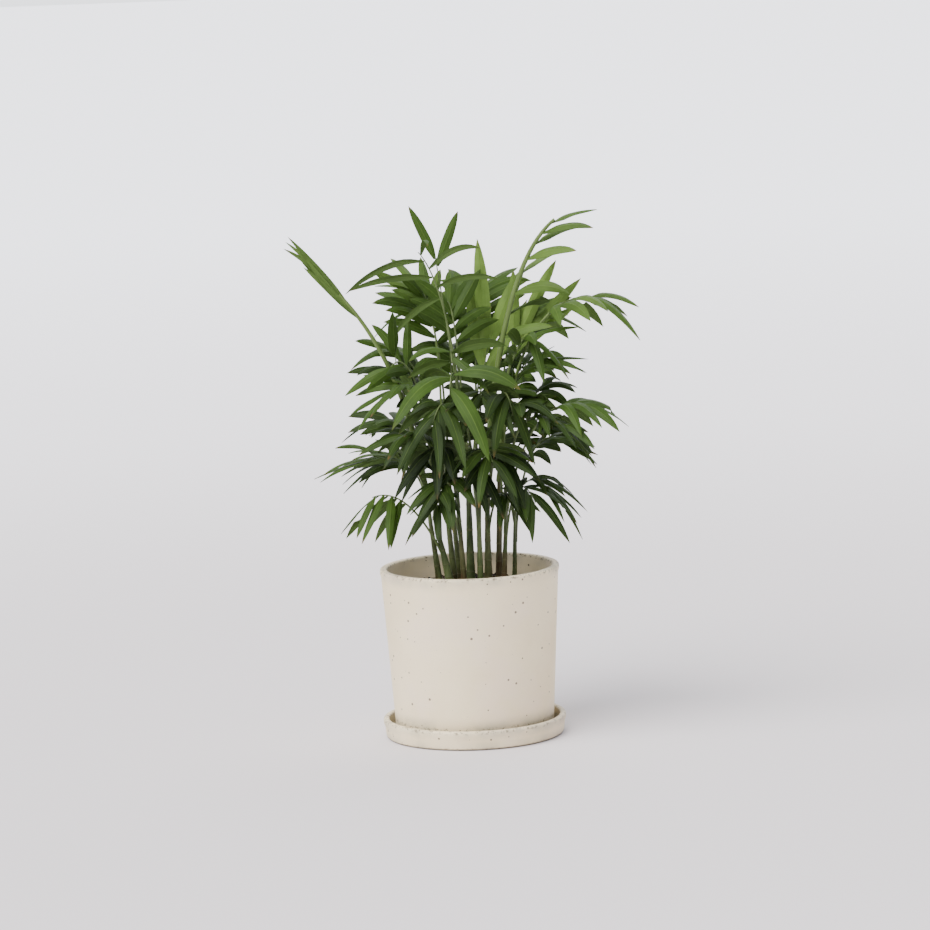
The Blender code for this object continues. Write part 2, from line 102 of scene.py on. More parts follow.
def smooth(piece: Object, degrees: float) -> None:
    """Smooths an object across every edge that bends less than an angle."""
    select_only(piece)
    bpy.ops.object.shade_smooth_by_angle(angle=math.radians(degrees))


def close_shell(piece: Object, degrees: float) -> None:
    """Turns the faces of the piece in edit mode out, leaves edit mode and smooths the piece.

    Args:
        piece: The object in edit mode.
        degrees: An edge that bends more than this stays sharp.
    """
    bpy.ops.mesh.select_all(action="SELECT")
    bpy.ops.mesh.normals_make_consistent(inside=False)
    close_edit()
    smooth(piece, degrees)


def pick(test: Callable[[Vector], bool]) -> None:
    """Selects vertices, with the edges and faces between them.

    Args:
        test: Takes a vertex's place and says whether it is wanted.
    """
    shell = bmesh.from_edit_mesh(bpy.context.edit_object.data)
    for items in (shell.verts, shell.edges, shell.faces):
        for item in items:
            item.select = False
    for vertex in shell.verts:
        vertex.select = test(vertex.co)
    shell.select_flush(True)
    bmesh.update_edit_mesh(bpy.context.edit_object.data)


def pick_face(test: Callable[[Vector, Vector], bool]) -> None:
    """Selects faces.

    Args:
        test: Takes a face's middle and its normal and says whether it is wanted.
    """
    bpy.ops.mesh.select_mode(type="FACE")
    shell = bmesh.from_edit_mesh(bpy.context.edit_object.data)
    for face in shell.faces:
        face.select = test(face.calc_center_median(), face.normal)
    shell.select_flush_mode()
    bmesh.update_edit_mesh(bpy.context.edit_object.data)


def resize(factors: Place, middle: Place = (0.0, 0.0, 0.0)) -> None:
    """Scales what is selected along X, Y and Z, about a point."""
    bpy.ops.transform.resize(value=factors, center_override=middle)


def widen(factor: float, height: float) -> None:
    """Scales what is selected away from the Z axis, about a height."""
    resize((factor, factor, 1.0), (0.0, 0.0, height))


def move(step: Place) -> None:
    """Moves what is selected."""
    bpy.ops.transform.translate(value=step)


def extrude_up(rise: float) -> None:
    """Extrudes what is selected along Z."""
    bpy.ops.mesh.extrude_region_move(TRANSFORM_OT_translate={"value": (0.0, 0.0, rise)})


def cylinder(name: str, sides: int, radius: float, low: float, high: float) -> Object:
    """Adds a cylinder about the Z axis and opens it for edit.

    Args:
        name: The object's name.
        sides: How many sides it has.
        radius: Its radius.
        low: Height of its foot.
        high: Height of its top.

    Returns:
        The new object.
    """
    bpy.ops.mesh.primitive_cylinder_add(vertices=sides, radius=radius, depth=high - low,
                                        location=(0.0, 0.0, (high + low) / 2))
    piece = bpy.context.object
    piece.name = piece.data.name = name
    select_only(piece)
    bpy.ops.object.transform_apply(location=True)
    open_for_edit(piece)
    return piece


def disc(name: str, sides: int) -> Object:
    """Adds a flat disc of radius 1 and opens it for edit with everything selected.

    Args:
        name: The object's name.
        sides: How many sides it has.

    Returns:
        The new object.
    """
    bpy.ops.mesh.primitive_circle_add(vertices=sides, radius=1.0, fill_type="NGON")
    piece = bpy.context.object
    piece.name = name
    open_for_edit(piece, everything=True)
    return piece


def apply_modifiers(piece: Object) -> None:
    """Makes an object's modifiers part of its mesh.

    Args:
        piece: The object.
    """
    select_only(piece)
    for modifier in list(piece.modifiers):
        bpy.ops.object.modifier_apply(modifier=modifier.name)


def turned_about(axis: Sequence[float], angle: float) -> np.ndarray:
    """The matrix that turns a column vector about an axis."""
    return np.array(Matrix.Rotation(angle, 3, Vector(axis)))


def reshape(piece: Object, shape: Shape) -> None:
    """Moves every vertex of an object.

    Args:
        piece: The object, often a fresh copy.
        shape: Takes the vertices' places, one in a row, and gives their new ones.
    """
    places = np.empty(3 * len(piece.data.vertices))
    piece.data.vertices.foreach_get("co", places)
    piece.data.vertices.foreach_set("co", shape(places.reshape(-1, 3)).ravel())
    piece.data.update()


def copy_of(pattern: Object) -> Object:
    """Copies a pattern, with a mesh of its own.

    Args:
        pattern: The object to copy.

    Returns:
        The copy.
    """
    piece = pattern.copy()
    piece.data = pattern.data.copy()
    bpy.context.scene.collection.objects.link(piece)
    return piece


def discard(patterns: Sequence[Object]) -> None:
    """Removes patterns once all their copies are made."""
    for pattern in patterns:
        bpy.data.objects.remove(pattern, do_unlink=True)


def joined(pieces: Sequence[Object], name: str) -> Object:
    """Joins objects in the first one and names it.

    Args:
        pieces: The objects to join.
        name: The name of the result.

    Returns:
        The one object that is left.
    """
    bpy.ops.object.select_all(action="DESELECT")
    for piece in pieces:
        piece.select_set(True)
    bpy.context.view_layer.objects.active = pieces[0]
    bpy.ops.object.join()
    pieces[0].name = pieces[0].data.name = name
    return pieces[0]


def settle(piece: Object, material: Material, stands_for: Sequence[str]) -> None:
    """Finishes a piece: its place goes in its mesh, and it gets its material and its body.

    Args:
        piece: The finished object.
        material: Its finish.
        stands_for: Nodes of the frame that it replaces.
    """
    select_only(piece)
    bpy.ops.object.transform_apply(location=True, rotation=True, scale=True)
    piece.data.materials.clear()
    piece.data.materials.append(material)
    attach(piece, BODY)
    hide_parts(*stands_for)
    piece.data.calc_loop_triangles()
    log.info("%s: %d triangles", piece.name, len(piece.data.loop_triangles))


# Materials


class NodeTree:
    """The nodes of one material or world, added and linked in a line each."""

    def __init__(self, owner: Material | World, shader: str = "Principled BSDF") -> None:
        """Starts with the owner's default nodes.

        Args:
            owner: The material or the world.
            shader: The default node that gives its colour.
        """
        owner.use_nodes = True
        self.owner = owner
        self.nodes = owner.node_tree.nodes
        self.links = owner.node_tree.links
        self.shader = self.nodes[shader]

    def put(self, target: NodeSocket, value: Any) -> None:
        """Links a socket to an input, or sets the input to a value.

        Args:
            target: The input.
            value: A socket, or what the input is to hold.
        """
        if isinstance(value, NodeSocket):
            self.links.new(value, target)
        elif isinstance(value, tuple) and len(value) == 3 and target.type == "RGBA":
            target.default_value = (*value, 1.0)
        else:
            target.default_value = value

    def add(self, kind: str, inputs: dict[Any, Any] | None = None, **settings: Any) -> Node:
        """Adds a node.

        Args:
            kind: The node's type.
            inputs: What its inputs hold or are linked to, by name or number.
            settings: The node's own settings.

        Returns:
            The new node.
        """
        node = self.nodes.new(kind)
        for key, value in settings.items():
            setattr(node, key, value)
        for key, value in (inputs or {}).items():
            self.put(node.inputs[key], value)
        return node

    def math(self, operation: str, first: Any, second: Any = 0.0) -> NodeSocket:
        """The result of a Math node."""
        return self.add("ShaderNodeMath", {0: first, 1: second}, operation=operation).outputs[0]

    def plus(self, first: Any, second: Any) -> NodeSocket:
        """A sum."""
        return self.math("ADD", first, second)

    def minus(self, first: Any, second: Any) -> NodeSocket:
        """A difference."""
        return self.math("SUBTRACT", first, second)

    def times(self, first: Any, second: Any) -> NodeSocket:
        """A product."""
        return self.math("MULTIPLY", first, second)

    def off(self, value: Any, level: Any) -> NodeSocket:
        """How far a value is from a level."""
        return self.math("ABSOLUTE", self.minus(value, level))

    def ramp(self, value: Any, low: float, high: float, start: Any = 0.0, end: Any = 1.0) -> NodeSocket:
        """A smooth step from start to end as the value goes from low to high."""
        return self.add("ShaderNodeMapRange", {0: value, 1: low, 2: high, 3: start, 4: end},
                        interpolation_type="SMOOTHSTEP").outputs[0]

    def mix(self, share: Any, first: Any, second: Any, blend: str = "MIX") -> NodeSocket:
        """Mixes two colours.

        Args:
            share: How much of the second there is.
            first: A colour or its socket.
            second: A colour or its socket.
            blend: How they are mixed.

        Returns:
            The mixed colour.
        """
        node = self.add("ShaderNodeMix", data_type="RGBA", blend_type=blend)
        for number, value in ((0, share), (6, first), (7, second)):
            self.put(node.inputs[number], value)
        return node.outputs[2]

    def lay(self, base: Any, colour: Any, value: Any, low: float, high: float, most: float = 1.0
            ) -> NodeSocket:
        """Lays a colour on a base, up to its largest share as the value goes from low to high."""
        return self.mix(self.ramp(value, low, high, 0.0, most), base, colour)

    def place(self) -> NodeSocket:
        """The place of a point on the object."""
        return self.add("ShaderNodeTexCoord").outputs["Object"]

    def axes(self, vector: Any) -> Sequence[NodeSocket]:
        """The X, Y and Z of a vector."""
        return self.add("ShaderNodeSeparateXYZ", {0: vector}).outputs

    def channels(self, colour: Any) -> Sequence[NodeSocket]:
        """The red, green and blue of a colour."""
        return self.add("ShaderNodeSeparateColor", {0: colour}).outputs

    def length(self, vector: Any) -> NodeSocket:
        """The length of a vector."""
        return self.add("ShaderNodeVectorMath", {0: vector}, operation="LENGTH").outputs["Value"]

    def stretched(self, source: Any, scale: Place) -> NodeSocket:
        """Coordinates, scaled along each axis."""
        return self.add("ShaderNodeMapping", {"Vector": source, "Scale": scale}).outputs[0]

    def noise(self, where: Any, scale: float, detail: float = 3.0, rough: float = 0.5) -> NodeSocket:
        """The value of a Noise texture, from 0 to 1."""
        return self.add("ShaderNodeTexNoise", {"Vector": where, "Scale": scale, "Detail": detail,
                                               "Roughness": rough}).outputs[0]

    def bump(self, height: Any, depth: float, strength: float) -> NodeSocket:
        """A normal from a height between 0 and 1."""
        return self.add("ShaderNodeBump", {"Height": height, "Distance": depth,
                                           "Strength": strength}).outputs[0]

    def finish(self, **inputs: Any) -> Any:
        """Sets the shader's inputs.

        Args:
            **inputs: What each holds, with its name's spaces as underscores.

        Returns:
            The owner, finished.
        """
        for name, value in inputs.items():
            self.put(self.shader.inputs[name.replace("_", " ")], value)
        return self.owner


@dataclass(frozen=True)
class Dots:
    """Round iron dots, one in each cell.

    A metre has so many cells. The least radius, its variation and the blur of the edge are in
    cells. Iron is its share in a dot's colour, and pit is how deep the dot lies, as a share of
    the glaze's relief.
    """

    cells: float
    least: float
    variation: float
    iron: float
    pit: float
    blur: float = 0.012

    def mask(self, tree: NodeTree, where: Any) -> NodeSocket:
        """Draws the dots.

        Args:
            tree: The material's nodes.
            where: Coordinates in metres.

        Returns:
            1 in a dot and 0 outside.
        """
        cell = tree.add("ShaderNodeTexVoronoi", {"Vector": where, "Scale": self.cells})
        size = tree.channels(cell.outputs["Color"])[0]
        edge = tree.plus(tree.times(size, self.variation), self.least)
        return tree.ramp(tree.minus(cell.outputs["Distance"], edge), -self.blur, self.blur, 1.0, 0.0)


@dataclass(frozen=True)
class StonewareFinish:
    """Matt cream stoneware, with iron specks and pinholes."""

    cream: Colour = (0.860, 0.730, 0.500)
    sand: Colour = (0.800, 0.665, 0.430)
    iron: Colour = (0.085, 0.055, 0.032)
    # The grey is painted shade: in patches near the lips and the foot, and in the saucer's channel.
    grey_shade: Colour = (0.330, 0.315, 0.250)
    rose: Colour = (0.840, 0.690, 0.540)
    # A near-black brown, painted along the saucer's foot as contact shade.
    contact_shade: Colour = (0.150, 0.125, 0.095)
    specks: Dots = Dots(cells=125.0, least=0.004, variation=0.150, iron=0.85, pit=0.9)
    flecks: Dots = Dots(cells=250.0, least=0.0, variation=0.09, iron=0.42, pit=0.35)
    roughness: float = 0.62
    lip_and_foot_heights: tuple[float, ...] = (156.0 * MM, 17.0 * MM, 0.5 * MM)
    wear_reach: float = 3.0 * MM
    grey_shade_reach: float = 13.0 * MM
    # Painted grey shade fills the saucer's channel round the pot's foot, inside this radius and below this
    # height.
    shaded_channel_rim: float = 80.0 * MM
    shaded_channel_height: float = 19.0 * MM
    contact_shade_height: float = 2.4 * MM
    relief: float = 0.25 * MM

    def near_edges(self, tree: NodeTree, height: Any, reach: float) -> NodeSocket:
        """Marks the heights of the lips and the foot.

        Args:
            tree: The material's nodes.
            height: The height of a point.
            reach: Distance from an edge at which its mark ends.

        Returns:
            1 at an edge and 0 beyond the reach.
        """
        edge = 0.0
        for level in self.lip_and_foot_heights:
            edge = tree.math("MAXIMUM", edge, tree.ramp(tree.off(height, level), 0.0, reach, 1.0, 0.0))
        return edge

    def material(self) -> Material:
        """Builds the finish: cloudy tones, painted grey and contact shade, dots, wear, and turning marks.

        Returns:
            The material.
        """
        tree = NodeTree(bpy.data.materials.new("cream stoneware"))
        where = tree.place()
        height = tree.axes(where)[2]
        clouds = tree.noise(where, 11.0, detail=4.0, rough=0.6)
        body = tree.lay(self.cream, self.sand, clouds, 0.35, 0.68)
        flush = tree.noise(where, 17.0, rough=0.6)
        body = tree.lay(body, self.rose, flush, 0.48, 0.66, most=0.5)
        grain = tree.noise(where, 420.0)
        body = tree.lay(body, self.sand, grain, 0.35, 0.8, most=0.16)

        # Painted grey shade, in patches, in a band below each lip and above the foot.
        shade_patches = tree.ramp(tree.noise(where, 26.0, rough=0.6), 0.38, 0.66, 0.16, 0.62)
        body = tree.mix(tree.times(self.near_edges(tree, height, self.grey_shade_reach), shade_patches), body, self.grey_shade)
        # Painted shade in the gap between the pot's foot and the saucer's wall, darkest at its bottom.
        radius = tree.length(tree.stretched(where, (1.0, 1.0, 0.0)))
        channel = tree.times(tree.ramp(radius, self.shaded_channel_rim - MM, self.shaded_channel_rim, 1.0, 0.0),
                             tree.ramp(height, self.shaded_channel_height / 3, self.shaded_channel_height, 0.75, 0.0))
        body = tree.mix(channel, body, self.grey_shade)
        # Painted contact shade: a dark band along the bottom of the saucer, where it meets the floor.
        foot = tree.ramp(height, self.contact_shade_height / 3, self.contact_shade_height, 0.85, 0.0)
        body = tree.mix(foot, body, self.contact_shade)

        specks = self.specks.mask(tree, where)
        flecks = self.flecks.mask(tree, where)
        mottle = tree.ramp(tree.noise(where, 300.0, detail=4.0, rough=0.7), 0.50, 0.63, 0.0, 0.75)
        worn = tree.times(self.near_edges(tree, height, self.wear_reach), mottle)
        for share in (tree.times(flecks, self.flecks.iron), tree.times(specks, self.specks.iron), worn):
            body = tree.mix(share, body, self.iron)

        turning = tree.noise(tree.stretched(where, (0.6, 0.6, 30.0)), 14.0)
        relief = tree.plus(tree.times(grain, 0.30), tree.times(turning, 0.55))
        relief = tree.minus(relief, tree.times(specks, self.specks.pit))
        relief = tree.minus(relief, tree.times(flecks, self.flecks.pit))
        rough = tree.ramp(tree.noise(where, 70.0), 0.3, 0.7, self.roughness - 0.06,
                          self.roughness + 0.08)
        return tree.finish(Base_Color=body, Roughness=rough,
                           Normal=tree.bump(relief, self.relief, strength=0.7))


@dataclass(frozen=True)
class SoilFinish:
    """Moist dark potting mix."""

    wet: Colour = (0.016, 0.010, 0.007)
    dry: Colour = (0.075, 0.048, 0.030)
    roughness: float = 0.92
    relief: float = 0.8 * MM

    def material(self) -> Material:
        """Builds the finish.

        Returns:
            The material.
        """
        tree = NodeTree(bpy.data.materials.new("potting mix"))
        where = tree.place()
        coarse = tree.noise(where, 130.0, detail=5.0, rough=0.65)
        fine = tree.noise(where, 900.0)
        colour = tree.lay(self.wet, self.dry, coarse, 0.38, 0.72)
        colour = tree.lay(colour, self.dry, fine, 0.45, 0.8, most=0.4)
        height = tree.plus(coarse, tree.times(fine, 0.4))
        return tree.finish(Base_Color=colour, Roughness=self.roughness,
                           Normal=tree.bump(height, self.relief, strength=0.9))


@dataclass(frozen=True)
class GranuleFinish:
    """A plain mineral or woody granule of the mix."""

    name: str
    light: Colour
    dark: Colour
    roughness: float = 0.85
    relief: float = 0.25 * MM

    def material(self) -> Material:
        """Builds the finish.

        Returns:
            The material.
        """
        tree = NodeTree(bpy.data.materials.new(self.name))
        grain = tree.noise(tree.place(), 700.0, detail=4.0, rough=0.6)
        return tree.finish(Base_Color=tree.lay(self.dark, self.light, grain, 0.3, 0.7),
                           Roughness=self.roughness, Normal=tree.bump(grain, self.relief, strength=0.8))


@dataclass(frozen=True)
class LeafFinish:
    """A satin leaflet: its tone, veins, paler underside and dry tip come from its own mesh.

    The attribute "leaf" holds the tone from dark to young in red, 1 on the underside in green,
    and how far the tip has dried in blue. The tone is partly the frond's age and partly painted
    shade and light: low tones darken to the deep colour, which is painted deep shade. The UV map
    runs along the leaflet and across it. Pallor is how much of the pale colour the underside has.
    The side veins lie so far from the midrib, as a share of the width, and the tip dries to a
    ragged line.
    """

    # The deep colour is painted deep shade, for leaflets in the shade of the clump.
    deep: Colour = (0.010, 0.020, 0.005)
    grown: Colour = (0.050, 0.098, 0.014)
    # The young green is partly real young growth and partly painted light on lit fronds.
    young: Colour = (0.215, 0.335, 0.075)
    underside: Colour = (0.085, 0.130, 0.040)
    rib: Colour = (0.200, 0.310, 0.060)
    dry: Colour = (0.160, 0.085, 0.030)
    glow: Colour = (0.310, 0.500, 0.020)
    roughness: float = 0.48
    gloss: float = 0.16
    see_through: float = 0.34
    pallor: float = 0.42
    vein_place: float = 0.25
    raggedness: float = 0.10
    relief: float = 0.22 * MM

    def material(self) -> Material:
        """Builds the finish: tone, streaks, underside, veins and tip, then the light through it.

        Returns:
            The material.
        """
        tree = NodeTree(bpy.data.materials.new("palm leaflet"))
        mark = tree.add("ShaderNodeAttribute", attribute_name="leaf")
        tone, under, dried = tree.channels(mark.outputs["Color"])
        chart = tree.add("ShaderNodeUVMap").outputs[0]
        along, across, _ = tree.axes(chart)
        streaks = tree.noise(tree.stretched(chart, (1.4, 46.0, 1.0)), 1.0, detail=2.0)
        patches = tree.noise(tree.place(), 34.0, rough=0.6)

        # Painted shade and light by tone: low tones darken to the deep shade colour and high tones pale to
        # young green. Random patches darken towards the deep colour too.
        colour = tree.lay(self.deep, self.grown, tone, 0.0, 0.5)
        colour = tree.lay(colour, self.young, tone, 0.5, 1.0)
        colour = tree.lay(colour, self.deep, patches, 0.35, 0.7, most=0.32)
        colour = tree.mix(tree.ramp(streaks, 0.4, 0.75, 0.0, 0.35), colour, self.rib, "SOFT_LIGHT")
        colour = tree.mix(under, colour, tree.mix(self.pallor, colour, self.underside))

        off_rib = tree.off(across, 0.5)
        side_vein = tree.ramp(tree.off(off_rib, self.vein_place), 0.004, 0.022, 0.28, 0.0)
        midrib = tree.ramp(off_rib, 0.012, 0.040, 0.62, 0.0)
        colour = tree.mix(tree.math("MAXIMUM", side_vein, midrib), colour,
                          tree.mix(0.5, colour, self.rib))
        ragged = tree.plus(along, tree.times(tree.minus(streaks, 0.5), self.raggedness))
        colour = tree.mix(tree.times(tree.ramp(ragged, 0.90, 0.985), dried), colour, self.dry)

        veins = tree.plus(tree.times(streaks, 0.6), midrib)
        rough = tree.ramp(under, 0.0, 1.0, self.roughness, self.roughness + 0.2)
        tree.finish(Base_Color=colour, Roughness=rough, Specular_IOR_Level=self.gloss,
                    Normal=tree.bump(veins, self.relief, strength=0.75))
        lit = tree.lay(tree.mix(0.4, self.grown, self.glow), self.glow, tone, 0.2, 1.0)
        lit = tree.mix(1.0, lit, tree.mix(0.35, (1.0, 1.0, 1.0), colour), "MULTIPLY")
        through = tree.add("ShaderNodeBsdfTranslucent", {"Color": lit})
        blend = tree.add("ShaderNodeMixShader", {0: self.see_through, 1: tree.shader.outputs[0],
                                                 2: through.outputs[0]})
        tree.put(tree.nodes["Material Output"].inputs["Surface"], blend.outputs[0])
        return tree.owner


@dataclass(frozen=True)
class CaneFinish:
    """Green cane and petiole skin, streaked along its length and brown where it is old.

    The attribute "cane" holds the share of the length in red, 1 on a node ring in green, how brown
    a cane is in blue, and how young a petiole is in alpha, a tone that also carries the painted
    light of its frond.
    """

    fresh: Colour = (0.125, 0.165, 0.060)
    green: Colour = (0.032, 0.052, 0.013)
    bark: Colour = (0.072, 0.026, 0.013)
    scar: Colour = (0.120, 0.120, 0.056)
    young: Colour = (0.095, 0.145, 0.034)
    roughness: float = 0.50
    gloss: float = 0.22
    relief: float = 0.2 * MM

    def material(self) -> Material:
        """Builds the finish: green streaks, young petioles, brown feet and pale rings.

        Returns:
            The material.
        """
        tree = NodeTree(bpy.data.materials.new("palm cane"))
        mark = tree.add("ShaderNodeAttribute", attribute_name="cane")
        along, ring, age = tree.channels(mark.outputs["Color"])
        where = tree.place()
        fibres = tree.noise(tree.stretched(where, (1.0, 1.0, 0.06)), 900.0)
        patches = tree.noise(tree.stretched(where, (1.0, 1.0, 0.4)), 90.0, detail=4.0, rough=0.6)
        colour = tree.lay(self.green, self.fresh, patches, 0.3, 0.7)
        colour = tree.lay(colour, self.green, fibres, 0.35, 0.75, most=0.4)
        # Young green on the petioles of the palest fronds: partly their age, partly painted light.
        colour = tree.lay(colour, self.young, mark.outputs["Alpha"], 0.40, 0.70, most=0.8)
        worn = tree.minus(tree.plus(along, tree.times(patches, 0.35)), tree.times(age, 0.3))
        brown = tree.times(tree.ramp(worn, 0.12, 0.42, 1.0, 0.0), age)
        colour = tree.mix(brown, colour, self.bark)
        colour = tree.lay(colour, self.bark, age, 0.2, 1.0, most=0.45)
        colour = tree.mix(tree.times(ring, 0.6), colour, self.scar)
        height = tree.plus(fibres, tree.times(brown, 0.6))
        return tree.finish(Base_Color=colour, Roughness=self.roughness, Specular_IOR_Level=self.gloss,
                           Normal=tree.bump(height, self.relief, strength=0.8))


@dataclass(frozen=True)
class FloorFinish:
    """The plain pale floor, brighter towards its far end."""

    near: Colour = (0.670, 0.628, 0.650)
    far: Colour = (0.935, 0.935, 1.0)
    fade_start: float = 0.5
    fade_end: float = 8.0
    glow: Colour = (0.88, 0.92, 1.0)
    glow_end: float = 2.6
    glow_strength: float = 0.48
    roughness: float = 0.85

    def material(self) -> Material:
        """Builds the finish.

        Returns:
            The material.
        """
        tree = NodeTree(bpy.data.materials.new("pale floor"))
        away = tree.length(tree.place())
        glow = tree.ramp(away, self.fade_start, self.glow_end, 0.0, self.glow_strength)
        return tree.finish(Base_Color=tree.lay(self.near, self.far, away, self.fade_start, self.fade_end),
                           Roughness=self.roughness, Emission_Color=self.glow, Emission_Strength=glow)


# Pot, saucer and soil


def flare(top: float, radius: float, foot_radius: float) -> None:
    """Widens the top ring of the straight piece in edit mode to a radius.

    Args:
        top: The ring's height.
        radius: The ring's new radius.
        foot_radius: Its radius so far, which is the foot's.
    """
    bpy.ops.mesh.select_mode(type="VERT")
    pick(lambda co: co.z > top - MM)
    widen(radius / foot_radius, top)


def widest(height: float) -> float:
    """The largest radius that the piece in edit mode has at a height."""
    shell = bmesh.from_edit_mesh(bpy.context.edit_object.data)
    return max(vertex.co.xy.length for vertex in shell.verts if abs(vertex.co.z - height) < ON_LEVEL)


@dataclass
class Thrown:
    """What the pot and the saucer have alike: the sizes of the lip, and how they are shaped."""

    sides: int = 160
    lip_height: float = 4.5 * MM
    lip_proud: float = 0.5 * MM
    lip_fall: float = 3.0 * MM
    rounding: float = 1.8 * MM
    segments: int = 5
    ring_play: float = 0.3 * MM
    smoothing: float = 40.0

    def hollow(self, top: float, wall: float, floor: float, narrowing: float) -> None:
        """Sinks the inside from the top face to the floor and narrows it there.

        Args:
            top: Height of the top face.
            wall: Thickness of the wall at the top.
            floor: Height of the inner floor.
            narrowing: Share of its width that the inside keeps at the floor.
        """
        pick_face(lambda middle, normal: normal.z > FACES_UP)
        bpy.ops.mesh.inset(thickness=wall)
        extrude_up(floor - top)
        widen(narrowing, floor)

    def raise_lip(self, top: float, radius: float) -> None:
        """Cuts the wall below the top and swells the outer band above the cut to a radius.

        Args:
            top: Height of the top.
            radius: The band's new radius.
        """
        foot = top - self.lip_height
        for height in (foot - self.lip_fall, foot):
            bpy.ops.mesh.select_all(action="SELECT")
            bpy.ops.mesh.bisect(plane_co=(0.0, 0.0, height), plane_no=(0.0, 0.0, 1.0))
        bpy.ops.mesh.select_mode(type="VERT")
        for height in (foot, top):
            outside = widest(height)
            pick(lambda co: abs(co.z - height) < ON_LEVEL and co.xy.length > outside - MM)
            widen(radius / outside, height)

    def round_rings(self, rings: Sequence[tuple[float, float, float]]) -> None:
        """Rounds ring edges of the piece in edit mode.

        Args:
            rings: Each ring's height, its radius and its rounding.
        """
        bpy.ops.mesh.select_mode(type="VERT")
        for height, radius, size in rings:
            pick(lambda co: abs(co.z - height) < self.ring_play
                 and abs(co.xy.length - radius) < self.ring_play)
            bpy.ops.mesh.bevel(offset=size, segments=self.segments, profile=0.5, affect="EDGES")

    def fire(self, piece: Object, material: Material, node: str) -> None:
        """Merges what a piece has double, closes and smooths it, and lets it stand for a node.

        Args:
            piece: The pot or the saucer, in edit mode.
            material: Its finish.
            node: The frame's node.
        """
        bpy.ops.mesh.select_all(action="SELECT")
        bpy.ops.mesh.remove_doubles(threshold=ON_LEVEL)
        close_shell(piece, self.smoothing)
        settle(piece, material, [node])


@dataclass
class Saucer(Thrown):
    """The shallow saucer: a flat floor and a low wall with a rounded lip."""

    radius: float = 84.3 * MM
    foot_radius: float = 82.1 * MM
    height: float = 18.0 * MM
    floor: float = 6.0 * MM
    wall: float = 5.5 * MM
    corner: float = 2.5 * MM
    foot_rounding: float = 3.0 * MM

    def build(self, material: Material) -> None:
        """Throws the saucer from a short cylinder and gives it its finish.

        Args:
            material: The saucer's finish.
        """
        saucer = cylinder("saucer_thrown", self.sides, self.foot_radius, 0.0, self.height)
        flare(self.height, self.radius - self.lip_proud, self.foot_radius)
        inner = self.radius - self.wall
        self.hollow(self.height, self.wall - self.lip_proud, self.floor, 1.0)
        self.raise_lip(self.height, self.radius)
        self.round_rings(((self.height, self.radius, self.rounding), (self.height, inner, self.rounding),
                          (0.0, self.foot_radius, self.foot_rounding), (self.floor, inner, self.corner)))
        self.fire(saucer, material, "saucer")


@dataclass
class Pot(Thrown):
    """The tapered pot, with a lip that stands a little proud and a drain hole."""

    top: float = 157.0 * MM
    underside: float = 6.3 * MM
    rim_radius: float = 82.5 * MM
    foot_radius: float = 72.8 * MM
    wall: float = 6.0 * MM
    floor: float = 8.0 * MM
    drain_radius: float = 7.0 * MM

    def build(self, material: Material) -> None:
        """Throws the pot from a tall cylinder and gives it its finish.

        Args:
            material: The pot's finish.
        """
        pot = cylinder("pot_thrown", self.sides, self.foot_radius, self.underside, self.top)
        wall_top = self.rim_radius - self.lip_proud
        flare(self.top, wall_top, self.foot_radius)
        inner_top = wall_top - self.wall
        share = self.floor / (self.top - self.underside)
        inner_foot = self.foot_radius + (wall_top - self.foot_radius) * share - self.wall
        floor = self.underside + self.floor
        self.hollow(self.top, self.wall, floor, inner_foot / inner_top)
        self.open_drain(floor)
        self.open_drain(self.underside)
        pick_face(lambda middle, normal: abs(normal.z) > FACES_UP and middle.xy.length < MM)
        bpy.ops.mesh.bridge_edge_loops()
        self.raise_lip(self.top, self.rim_radius)
        self.round_rings(((self.top, self.rim_radius, self.rounding), (self.top, inner_top, self.rounding),
                          (self.underside, self.foot_radius, self.rounding)))
        self.fire(pot, material, "pot")

    def open_drain(self, height: float) -> None:
        """Insets the disc at a height to the drain's size."""
        pick_face(lambda middle, normal: abs(middle.z - height) < ON_LEVEL and middle.xy.length < MM)
        bpy.ops.mesh.inset(thickness=widest(height) - self.drain_radius)


@dataclass(frozen=True)
class Grains:
    """One kind of grain that lies on the soil.

    Sizes are the least and the largest radius. The stretch is along a grain's own axes. The seed
    starts the draws of this kind.
    """

    name: str
    finish: SoilFinish | GranuleFinish
    count: int
    sizes: tuple[float, float]
    stretch: Place
    seed: int


